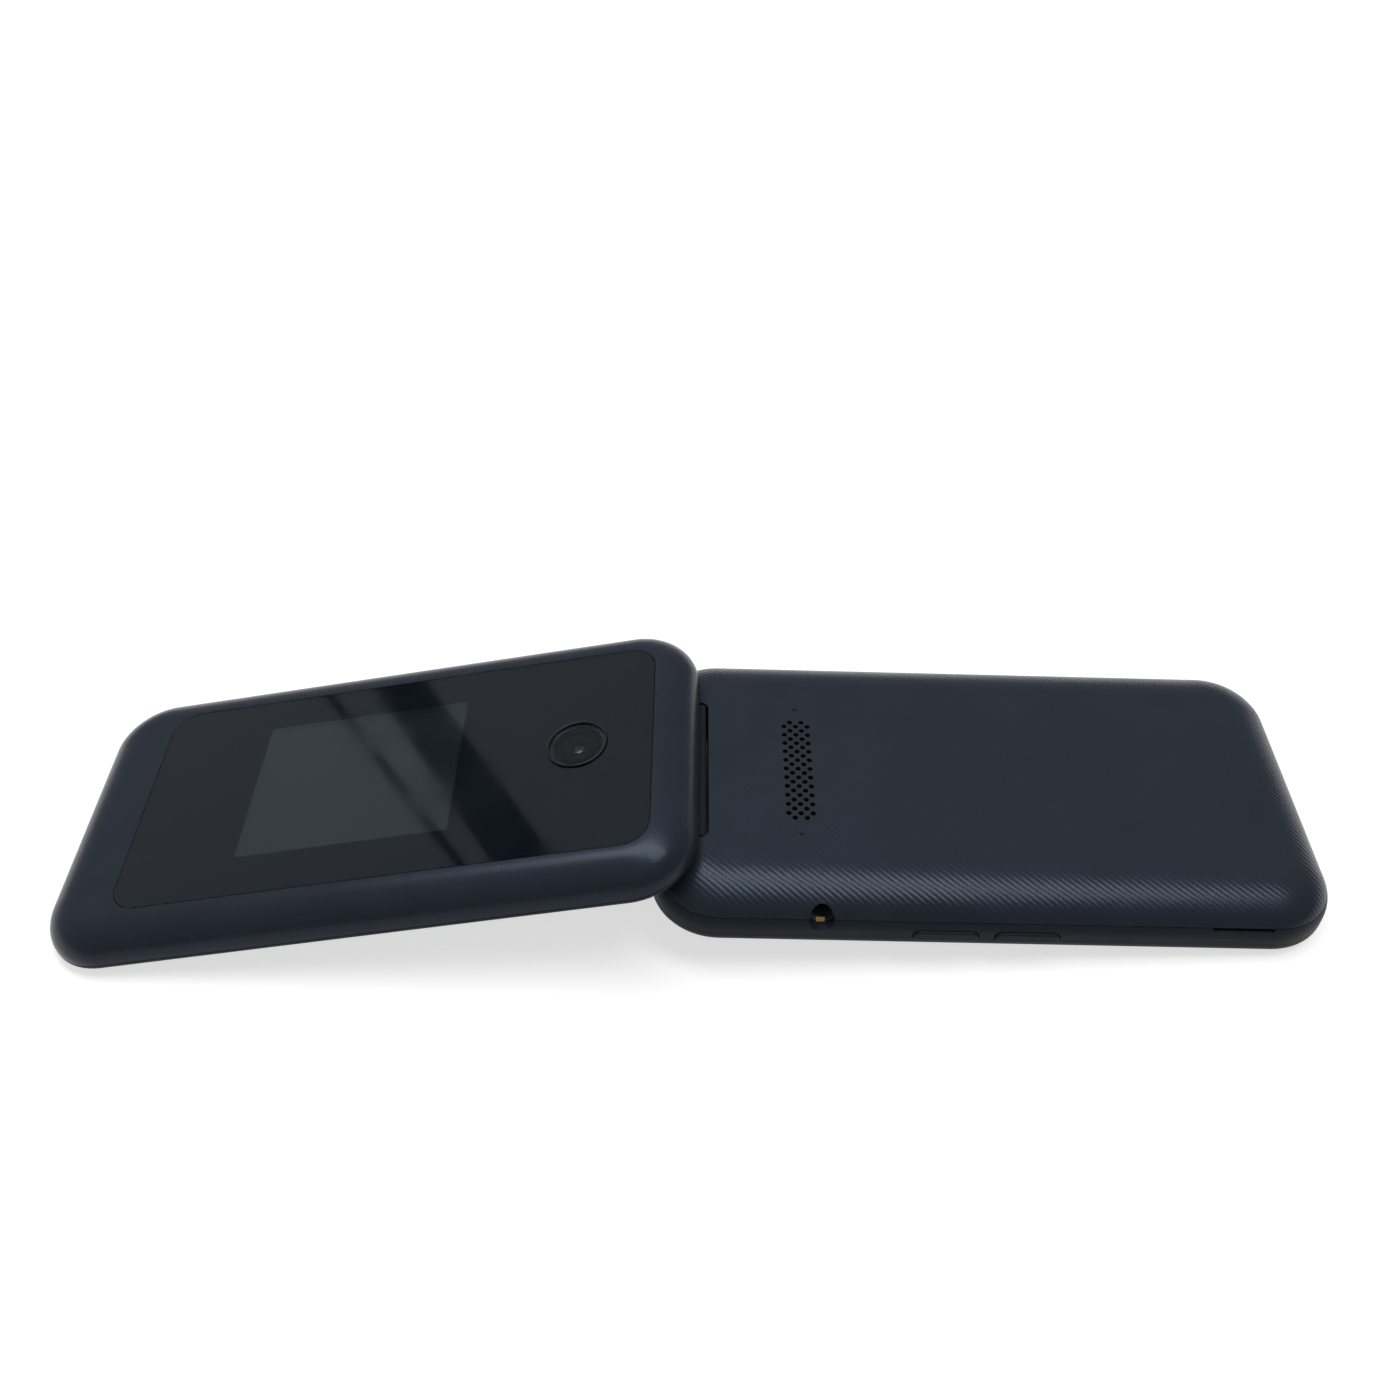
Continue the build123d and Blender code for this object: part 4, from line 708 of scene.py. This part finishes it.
def wires_group():
    """Wavy wires side by side: one of the two ways of a plain weave."""
    group, given, end = new_group(
        "Wavy wires", "GeometryNodeTree",
        [
            ("Along", "Vector", (1, 0, 0)), ("Across", "Vector", (0, 1, 0)),
            ("Crossings", "Int", 10), ("Wires", "Int", 10), ("Pitch", "Float", 0.0004),
            ("Radius", "Float", 0.00006), ("Side", "Float", 1.0),
        ],
        [("Wires", "Geometry")],
    )

    def times(first, second):
        return number(group, "MULTIPLY", first, second)

    along, pitch, radius = given["Along"], given["Pitch"], given["Radius"]
    after = number(group, "SUBTRACT", given["Crossings"], 0.5)
    line = add_node(group, "GeometryNodeCurvePrimitiveLine", {
        "Start": scaled(group, along, times(pitch, -0.5)),
        "End": scaled(group, along, times(pitch, after)),
    })
    points = number(group, "MULTIPLY_ADD", given["Crossings"], 4, 1)
    parts = add_node(
        group, "GeometryNodeResampleCurve", {"Curve": line.outputs[0], "Count": points}
    )
    # A wire rises over one crossing and dips under the next
    here = add_node(group, "GeometryNodeInputPosition").outputs[0]
    reach = add_node(
        group, "ShaderNodeVectorMath", {0: here, 1: along}, operation="DOT_PRODUCT"
    ).outputs["Value"]
    phase = times(number(group, "DIVIDE", reach, pitch), pi)
    height = times(number(group, "COSINE", phase), radius)
    rise = add_node(group, "ShaderNodeCombineXYZ", {"Z": times(height, given["Side"])})
    wavy = add_node(
        group, "GeometryNodeSetPosition",
        {"Geometry": parts.outputs[0], "Offset": rise.outputs[0]},
    )
    section = add_node(
        group, "GeometryNodeCurvePrimitiveCircle", {"Resolution": 5, "Radius": radius}
    )
    wire = add_node(group, "GeometryNodeCurveToMesh", {
        "Curve": wavy.outputs[0], "Profile Curve": section.outputs[0], "Fill Caps": True,
    })
    places = add_node(
        group, "GeometryNodeMeshLine",
        {"Count": given["Wires"], "Offset": scaled(group, given["Across"], pitch)},
    )
    # Every second wire is turned over
    index = add_node(group, "GeometryNodeInputIndex").outputs[0]
    half_turn = times(number(group, "FLOORED_MODULO", index, 2), pi)
    turn = add_node(
        group, "FunctionNodeAxisAngleToRotation", {"Axis": along, "Angle": half_turn}
    )
    spread = add_node(group, "GeometryNodeInstanceOnPoints", {
        "Points": places.outputs[0], "Instance": wire.outputs[0], "Rotation": turn.outputs[0],
    })
    fill(group, end, {"Wires": spread.outputs[0]})
    return group


def weave_tree():
    """Plain woven cloth of round wires with its first crossing at the origin."""
    tree, given, end = new_group(
        "Woven cloth", "GeometryNodeTree",
        [
            ("Length Crossings", "Int", 20), ("Width Crossings", "Int", 10),
            ("Pitch", "Float", 0.0004), ("Radius", "Float", 0.00006),
            ("Material", "Material", None),
        ],
        [("Cloth", "Geometry")],
    )
    wires = wires_group()
    both = add_node(tree, "GeometryNodeJoinGeometry")
    for along, across, crossings, count, side in (
        ((1, 0, 0), (0, 1, 0), "Length Crossings", "Width Crossings", 1.0),
        ((0, 1, 0), (1, 0, 0), "Width Crossings", "Length Crossings", -1.0),
    ):
        way = add_node(tree, "GeometryNodeGroup", {
            "Along": along, "Across": across, "Side": side, "Crossings": given[crossings],
            "Wires": given[count], "Pitch": given["Pitch"], "Radius": given["Radius"],
        }, node_tree=wires)
        fill(tree, both, {0: way.outputs[0]})
    finish_tree(tree, both.outputs[0], given["Material"], end)
    return tree


def contact_tree():
    """A row of flat contact strips across y, centred on the origin."""
    tree, given, end = new_group(
        "Contact row", "GeometryNodeTree",
        [
            ("Count", "Int", 5), ("Pitch", "Float", STRIP_PITCH),
            ("Strip", "Vector", STRIP_SIZE), ("Material", "Material", None),
        ],
        [("Contacts", "Geometry")],
    )
    strip = add_node(tree, "GeometryNodeMeshCube", {"Size": given["Strip"]})
    steps = number(tree, "ADD", given["Count"], -1.0)
    length = number(tree, "MULTIPLY", steps, given["Pitch"])
    start = number(tree, "MULTIPLY", length, -0.5)
    origin = add_node(tree, "ShaderNodeCombineXYZ", {"Y": start})
    step = add_node(tree, "ShaderNodeCombineXYZ", {"Y": given["Pitch"]})
    row = add_node(tree, "GeometryNodeMeshLine", {
        "Count": given["Count"], "Start Location": origin.outputs[0],
        "Offset": step.outputs[0],
    })
    spread = add_node(
        tree, "GeometryNodeInstanceOnPoints",
        {"Points": row.outputs[0], "Instance": strip.outputs[0]},
    )
    finish_tree(tree, spread.outputs[0], given["Material"], end)
    return tree


def finish_tree(tree, geometry, material, end):
    """Ends a Geometry Nodes tree: instances made real mesh, then its material."""
    real = add_node(tree, "GeometryNodeRealizeInstances", {0: geometry})
    dressed = add_node(
        tree, "GeometryNodeSetMaterial", {"Geometry": real.outputs[0], "Material": material}
    )
    fill(tree, end, {0: dressed.outputs[0]})


def mesh_from_tree(tree, values):
    """Plain mesh that a Geometry Nodes tree makes with named values."""
    holder = new_object("holder", bpy.data.meshes.new("holder"))
    modifier = holder.modifiers.new("nodes", "NODES")
    modifier.node_group = tree
    sockets = {
        item.name: item.identifier for item in tree.interface.items_tree
        if item.item_type == "SOCKET" and item.in_out == "INPUT"
    }
    for name, value in values.items():
        modifier[sockets[name]] = value
    bpy.context.view_layer.update()
    mesh = evaluated_mesh(holder)
    if not mesh.polygons:
        raise RuntimeError(f"the tree {tree.name} made no faces")
    return mesh


def cloth_mesh(length, width, place, pitch, radius, material):
    """Woven cloth of a length and width, centred on a place."""
    tree = bpy.data.node_groups.get("Woven cloth") or weave_tree()
    along, across = round(length / pitch), round(width / pitch)
    mesh = mesh_from_tree(tree, {
        "Length Crossings": along, "Width Crossings": across, "Pitch": pitch,
        "Radius": radius, "Material": material,
    })
    middle = Matrix.Translation((-(along - 1) * pitch / 2, -(across - 1) * pitch / 2, 0))
    mesh.transform(place @ middle)
    return mesh


# Operators


class PHONE_OT_finish_case(bpy.types.Operator):
    """Finish the case halves, the covers and the keys in their plastics"""
    bl_idname = "phone.finish_case"
    bl_label = "Case and Keys"

    def execute(self, context):
        case = context.scene.phone_case
        moulded = dict(grain=MM / case.grain_size, depth=case.grain_depth, tint=SHEEN_TINT)
        housing = dict(roughness=0.5, specular=0.14, **moulded)
        finish_nodes(
            ("rear_cover",), ridged_plastic, "Ridged cover plastic", case.cover_colour,
            case.ridge_pitch, case.ridge_depth, **moulded,
        )
        finish_nodes(
            ("lid_outer_cover",), moulded_plastic, "Lid plastic", case.cover_colour, LID_TURN,
            roughness=0.27, specular=0.21, **moulded,
        )
        finish_nodes(
            ("front_housing", "volume_up", "volume_down"),
            moulded_plastic, "Housing plastic", case.housing_colour, **housing,
        )
        finish_nodes(
            ("lid_inner_cover",), moulded_plastic, "Lid frame plastic", case.housing_colour,
            LID_TURN, **housing,
        )
        finish_nodes(
            (*NUMBER_LEGENDS, *WORD_LEGENDS, *SOFT_KEYS, "call_key", "end_key"),
            moulded_plastic, "Key plastic", (0.012, 0.013, 0.016), roughness=0.35, grain=7.0,
            depth=0.000006, dust=0.05,
        )
        finish_nodes(
            ("nav_ring",), metal, "Ring plating", (0.16, 0.17, 0.19), roughness=0.3, lines=9.0
        )
        return {"FINISHED"}


class PHONE_OT_finish_panes(bpy.types.Operator):
    """Finish the glass panes, their black print, the displays and the camera"""
    bl_idname = "phone.finish_panes"
    bl_label = "Panes and Displays"

    def execute(self, context):
        panes = context.scene.phone_panes
        glass = clear_glass("Pane glass", (0.76, 0.86, 0.88), panes.smudge, index=1.62)
        coated = clear_glass("Coated window", (0.93, 0.96, 0.98), panes.smudge, index=1.33)
        # The print is bonded into the backs of the large panes; the window lies free
        self.pane("outer_glass", glass, -PANE_HAIR)
        self.pane("inner_glass", glass, PANE_HAIR, back_on_top=True)
        self.pane("camera_window", coated, PANE_HAIR)
        finish_nodes(
            ("camera_lens",), metal, "Coated lens", (0.050, 0.062, 0.076), LID_TURN,
            roughness=0.25, lines=2.0,
        )
        finish_nodes(
            ("outer_glass_film", "inner_glass_film"),
            moulded_plastic, "Black print", panes.film_colour, LID_TURN, roughness=0.35,
            mottle=0.35, grain=9.0, depth=0.0, dust=0.0, specular=0.05,
        )
        finish_nodes(
            ("outer_display", "inner_display"),
            display_face, "Unlit display", panes.display_colour,
        )
        finish_nodes(
            ("camera_ring",), metal, "Dark ring metal", (0.030, 0.033, 0.040), LID_TURN,
            roughness=0.32, lines=6.0,
        )
        finish_nodes(
            ("camera_module",), moulded_plastic, "Camera black", (0.004, 0.0045, 0.005),
            LID_TURN, roughness=0.8, grain=6.0, dust=0.0, specular=0.05,
        )
        return {"FINISHED"}

    def pane(self, node, material, rise, back_on_top=False):
        """Pane in its CAD node's form, with its back moved so that nothing is flush."""
        form = bmesh.new()
        form.from_mesh(frame["nodes"][node].data)
        lowest, highest = own_box(node, LID_AXES)
        back = highest.z if back_on_top else lowest.z
        shift = LID_AXES.to_3x3() @ Vector((0, 0, rise))
        to_own = LID_AXES.inverted()
        for vertex in form.verts:
            if abs((to_own @ vertex.co).z - back) < PANE_HAIR / 2:
                vertex.co += shift
        mesh = closed_mesh(form, node)
        mesh.attributes.remove(mesh.attributes["custom_normal"])
        piece = new_piece(node + "_pane", mesh, material, body_of_node(node))
        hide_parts(node)


class PHONE_OT_finish_inside(bpy.types.Operator):
    """Finish the hinge, the boards, the battery and the other parts inside"""
    bl_idname = "phone.finish_inside"
    bl_label = "Inside Parts"

    def execute(self, context):
        finish_nodes(
            ("chassis", "side_switches", "contact_block", "loudspeaker"),
            moulded_plastic, "Chassis plastic", (0.014, 0.014, 0.015), roughness=0.6, grain=3.0,
        )
        finish_nodes(
            ("audio_jack_socket",), moulded_plastic, "Socket plastic", (0.055, 0.062, 0.075),
            roughness=0.5, grain=3.0,
        )
        finish_nodes(
            ("earpiece",), moulded_plastic, "Earpiece plastic", (0.010, 0.010, 0.011),
            LID_TURN, roughness=0.6,
        )
        finish_nodes(
            (
                "base_screws", "usb_socket", "microphone", "vibration_motor", "sim_holder",
                "hinge_cartridge", "hinge_cam_shaft", "hinge_pin",
            ),
            metal, "Stamped steel", STEEL, roughness=0.30,
        )
        finish_nodes(("lid_screws",), metal, "Lid screw steel", STEEL, LID_TURN)
        finish_nodes(
            ("jack_contact", "contact_springs"),
            metal, "Gold plating", GOLD, roughness=0.22, lines=10.0,
        )
        finish_nodes(
            ("hinge_bush",), moulded_plastic, "Bush plastic", (0.016, 0.017, 0.019),
            roughness=0.4, mottle=0.1,
        )
        finish_nodes(
            ("dome_sheet",), moulded_plastic, "Dome film", (0.45, 0.46, 0.44), roughness=0.3,
            mottle=0.2, grain=1.2, depth=0.000006, dust=0.0,
        )
        finish_nodes(
            ("battery",), moulded_plastic, "Battery wrap", (0.020, 0.021, 0.024),
            roughness=0.32, mottle=0.25, grain=0.7, depth=0.00001,
        )
        finish_nodes(
            ("screw_caps",), moulded_plastic, "Cap rubber", (0.013, 0.014, 0.016), LID_TURN,
            roughness=0.75, grain=3.5, depth=0.00002,
        )
        finish_nodes(("main_board",), circuit_board, "Main board")
        finish_nodes(("lid_board",), circuit_board, "Lid board", LID_TURN)
        finish_nodes(
            ("hinge_flex",), flex_ribbon, "Amber ribbon", (0.32, 0.12, 0.02),
            (0.55, 0.28, 0.08),
        )
        return {"FINISHED"}


class PHONE_OT_key_legends(bpy.types.Operator):
    """Print the digits, letters and signs on the keys"""
    bl_idname = "phone.key_legends"
    bl_label = "Key Legends"

    def execute(self, context):
        keys = context.scene.phone_keypad
        ink = self.ink("Legend ink", keys.legend_colour)
        thin = keys.print_thickness
        for node, (digit, letters) in NUMBER_LEGENDS.items():
            marks = [text_mesh(digit, keys.digit_size, thin)]
            if letters:
                marks.append(text_mesh(letters, keys.letter_size, thin))
            self.lay(node, side_by_side(marks, keys.legend_gap, node), ink)
        for node, (words, share) in WORD_LEGENDS.items():
            self.lay(node, text_mesh(words, keys.digit_size * share, thin), ink)
        for node in SOFT_KEYS:
            form = bmesh.new()
            add_sector(form, SOFT_MARK, pi / 2 - SOFT_REACH, pi / 2 + SOFT_REACH, thin)
            mesh = closed_mesh(form, node)
            mesh.transform(Matrix.Translation((0, -sum(SOFT_MARK) / 2, 0)))
            self.lay(node, mesh, ink)
        self.lay("call_key", self.handset(thin, 0.0), self.ink("Call ink", keys.call_colour))
        self.lay("end_key", self.handset(thin, pi), self.ink("End ink", keys.end_colour))
        self.lay("nav_ring", self.ring_marks(thin), ink)
        return {"FINISHED"}

    def ink(self, name, colour):
        """Printed ink, a little uneven."""
        return moulded_plastic(
            name, colour, roughness=0.5, mottle=0.12, grain=8.0, depth=0.000002, dust=0.0
        )

    def lay(self, node, mesh, ink):
        """Lays a print on a key and lets it ride with the key."""
        mesh.transform(key_face(node))
        new_piece(node + "_print", mesh, ink, body_of_node(node))

    def handset(self, thin, turn):
        """Sign of a telephone handset: a bow with a thick end at each side."""
        form = bmesh.new()
        add_sector(form, HANDSET_BOW, radians(35), radians(145), thin)
        # The ends stand a little higher than the bow, so that no two faces are flush
        for start, stop in ((25, 51), (129, 155)):
            add_sector(form, HANDSET_ENDS, radians(start), radians(stop), 1.3 * thin, steps=6)
        mesh = closed_mesh(form, "handset")
        mesh.transform(Matrix.Rotation(turn, 4, "Z") @ Matrix.Translation((0, -0.0020, 0)))
        return mesh

    def ring_marks(self, thin):
        """A short curved bar at each quarter of the ring key."""
        form = bmesh.new()
        for quarter in range(4):
            way = quarter * pi / 2
            add_sector(form, RING_MARK, way - RING_REACH, way + RING_REACH, thin, steps=6)
        return closed_mesh(form, "ring_marks")


class PHONE_OT_speaker_cloths(bpy.types.Operator):
    """Weave the cloths behind the loudspeaker's holes and the earpiece slot"""
    bl_idname = "phone.speaker_cloths"
    bl_label = "Speaker Cloths"

    def execute(self, context):
        cloth = context.scene.phone_cloth
        wire = metal("Cloth wire", (0.030, 0.031, 0.034), roughness=0.45, lines=20.0)
        weave = (cloth.wire_pitch, cloth.wire_radius, wire)
        lowest, highest = own_box("grille_mesh", BASE_AXES)
        place = BASE_AXES @ Matrix.Translation((lowest + highest) / 2)
        mesh = cloth_mesh(highest.x - lowest.x, highest.y - lowest.y, place, *weave)
        piece = new_piece("speaker_cloth", mesh, wire, "rear_cover", smooth=True)
        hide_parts("grille_mesh")
        lowest, highest = own_box("earpiece", LID_AXES)
        place = LID_AXES @ Matrix.Translation(
            ((lowest.x + highest.x) / 2, 0, lowest.z - 3 * cloth.wire_radius)
        )
        mesh = cloth_mesh(*EARPIECE_CLOTH, place, *weave)
        new_piece("earpiece_cloth", mesh, wire, "lid", smooth=True)
        return {"FINISHED"}


class PHONE_OT_socket_contacts(bpy.types.Operator):
    """Lay the gold contacts on the tongue of the charging socket"""
    bl_idname = "phone.socket_contacts"
    bl_label = "Socket Contacts"

    def execute(self, context):
        gold = metal("Contact gold", GOLD, roughness=0.25)
        lowest, highest = own_box("usb_socket", BASE_AXES)
        # The tongue's lower face lies a little above the middle of the socket
        tongue = (lowest.z + highest.z) / 2 + (highest.z - lowest.z) / 24
        tree = bpy.data.node_groups.get("Contact row") or contact_tree()
        mesh = mesh_from_tree(tree, {
            "Count": context.scene.phone_cloth.contact_count, "Pitch": STRIP_PITCH,
            "Strip": STRIP_SIZE, "Material": gold,
        })
        place = (highest.x - STRIP_SETBACK, 0, tongue - STRIP_SIZE[2] / 2)
        mesh.transform(BASE_AXES @ Matrix.Translation(place))
        new_piece("socket_contacts", mesh, gold, "base")
        return {"FINISHED"}


class PHONE_OT_stage(bpy.types.Operator):
    """Set the pale floor, the soft light and the camera"""
    bl_idname = "phone.stage"
    bl_label = "Stage"

    def execute(self, context):
        stage = context.scene.phone_stage
        self.floor(stage.floor_colour)
        self.sky(stage.sky_strength)
        self.lamp(stage.lamp_power)
        self.camera(stage.lens)
        self.beams()
        context.scene.view_settings.view_transform = "Standard"
        return {"FINISHED"}

    def stand(self, name, form, material):
        """Puts a piece of the stage in the scene."""
        mesh = plain_mesh(form, name)
        mesh.materials.append(material)
        new_object(name, mesh)

    def floor(self, colour):
        """Large pale floor, lifted to white for the camera and for what mirrors it."""
        form = bmesh.new()
        bmesh.ops.create_grid(form, x_segments=1, y_segments=1, size=4.0)
        material = bpy.data.materials.new("Floor paper")
        material.use_nodes = True
        tree = material.node_tree
        place = add_node(tree, "ShaderNodeTexCoord").outputs["Object"]
        level = number(tree, "MULTIPLY_ADD", noise(tree, place, 60.0, 3.0), 0.02, 0.99)
        seen = add_node(tree, "ShaderNodeLightPath").outputs
        mirrored = number(tree, "ADD", seen["Is Glossy Ray"], seen["Is Transmission Ray"])
        shown = number(tree, "ADD", seen["Is Camera Ray"], mirrored, clamp=True)
        # Painted shadow: the lift fades out in the shaded spot that the hinge's gap mirrors
        centred = add_node(
            tree, "ShaderNodeMapping",
            {"Vector": place, "Location": PAINTED_SHADOW_SPOT, "Scale": PAINTED_SHADOW_REACH}, vector_type="TEXTURE",
        )
        away = add_node(
            tree, "ShaderNodeVectorMath", {0: centred.outputs["Vector"]}, operation="LENGTH"
        )
        outside_painted_shadow = add_node(
            tree, "ShaderNodeMapRange",
            {"Value": away.outputs["Value"], "From Min": 0.5, "From Max": 1.0},
            interpolation_type="SMOOTHSTEP",
        )
        lift = number(tree, "MULTIPLY", shown, FLOOR_LIFT)
        fill(tree, tree.nodes["Principled BSDF"], {
            "Base Color": scaled(tree, colour, level), "Roughness": 0.9,
            "Specular IOR Level": 0.1, "Emission Color": (1, 1, 1, 1),
            "Emission Strength": number(tree, "MULTIPLY", lift, outside_painted_shadow.outputs[0]),
        })
        self.stand("floor", form, material)

    def beams(self):
        """Dark beams far overhead that the lid's pane mirrors as two slanting bands."""
        lowest, highest = own_box("outer_glass", LID_AXES)
        far, near = lowest.y - BEAM_OVERHANG, highest.y + BEAM_OVERHANG
        material = moulded_plastic("Beam cloth", (0.12, 0.15, 0.22), roughness=0.9, dust=0.0)
        for name, (far_edge, near_edge, width) in BEAMS.items():
            corners = (
                (far_edge, far), (far_edge - width, far), (near_edge - width, near),
                (near_edge, near),
            )
            form = bmesh.new()
            form.faces.new([
                form.verts.new(self.overhead(Vector((x, y, highest.z)))) for x, y in corners
            ])
            self.stand(name, form, material)

    def overhead(self, place):
        """Point overhead that the camera sees mirrored at a place on the lid's pane."""
        spot = LID_AXES @ place
        out = LID_AXES.to_3x3() @ Vector((0, 0, 1))
        ray = spot - bpy.context.scene.camera.matrix_world.translation
        ray -= 2 * ray.dot(out) * out
        return spot + ray * ((BEAM_HEIGHT - spot.z) / ray.z)

    def sky(self, strength):
        """Pale light from all round, stronger from the far left."""
        world = bpy.data.worlds.new("sky")
        world.use_nodes = True
        tree = world.node_tree
        way = add_node(tree, "ShaderNodeTexCoord").outputs["Generated"]
        slant = add_node(
            tree, "ShaderNodeVectorMath", {0: way, 1: SKY_SLANT * strength},
            operation="DOT_PRODUCT",
        )
        fill(tree, tree.nodes["Background"], {
            "Color": (1, 1, 1, 1),
            "Strength": number(tree, "ADD", slant.outputs["Value"], strength),
        })
        bpy.context.scene.world = world

    def lamp(self, power):
        """Oblong soft lamp overhead that faces the floor."""
        light = bpy.data.lights.new("overhead", "AREA")
        light.shape = "RECTANGLE"
        light.size, light.size_y = LAMP_SIZE
        light.energy = power
        holder = new_object("overhead", light)
        holder.location = LAMP_PLACE
        holder.rotation_euler = (0, 0, LAMP_TURN)

    def camera(self, lens):
        """Camera at the photograph's viewing angle, fitted to the phone's outlines."""
        data = bpy.data.cameras.new("camera")
        data.lens = lens
        data.sensor_width = 36.0
        data.clip_start = 0.01
        holder = new_object("camera", data)
        turn = Matrix(CAMERA_AXES).transposed().to_4x4()
        holder.matrix_world = Matrix.Translation(HINGE + CAMERA_PLACE) @ turn
        bpy.context.scene.camera = holder


class PHONE_PT_panel(bpy.types.Panel):
    """Finishes of the flip phone"""
    bl_idname = "PHONE_PT_panel"
    bl_label = "Flip Phone"
    bl_space_type = "VIEW_3D"
    bl_region_type = "UI"
    bl_category = "Flip Phone"

    def draw(self, context):
        layout = self.layout
        for group, operators in PANEL_ROWS:
            box = layout.box()
            settings = getattr(context.scene, group)
            for name in settings.__annotations__:
                box.prop(settings, name)
            for operator in operators:
                box.operator(operator.bl_idname)


SETTINGS = {
    "phone_case": CaseSettings,
    "phone_panes": PaneSettings,
    "phone_keypad": KeypadSettings,
    "phone_cloth": ClothSettings,
    "phone_stage": StageSettings,
}
PANEL_ROWS = (
    ("phone_case", (PHONE_OT_finish_case, PHONE_OT_finish_inside)),
    ("phone_panes", (PHONE_OT_finish_panes,)),
    ("phone_keypad", (PHONE_OT_key_legends,)),
    ("phone_cloth", (PHONE_OT_speaker_cloths, PHONE_OT_socket_contacts)),
    ("phone_stage", (PHONE_OT_stage,)),
)
CLASSES = (*SETTINGS.values(), *(item for _, row in PANEL_ROWS for item in row), PHONE_PT_panel)


def register():
    for item in CLASSES:
        bpy.utils.register_class(item)
    for name, settings in SETTINGS.items():
        setattr(bpy.types.Scene, name, PointerProperty(type=settings))


def unregister():
    for name in SETTINGS:
        delattr(bpy.types.Scene, name)
    for item in reversed(CLASSES):
        bpy.utils.unregister_class(item)


def main():
    register()
    bpy.ops.phone.stage()
    bpy.ops.phone.finish_case()
    bpy.ops.phone.finish_panes()
    bpy.ops.phone.finish_inside()
    bpy.ops.phone.key_legends()
    bpy.ops.phone.speaker_cloths()
    bpy.ops.phone.socket_contacts()


if __name__ == "__main__":
    main()
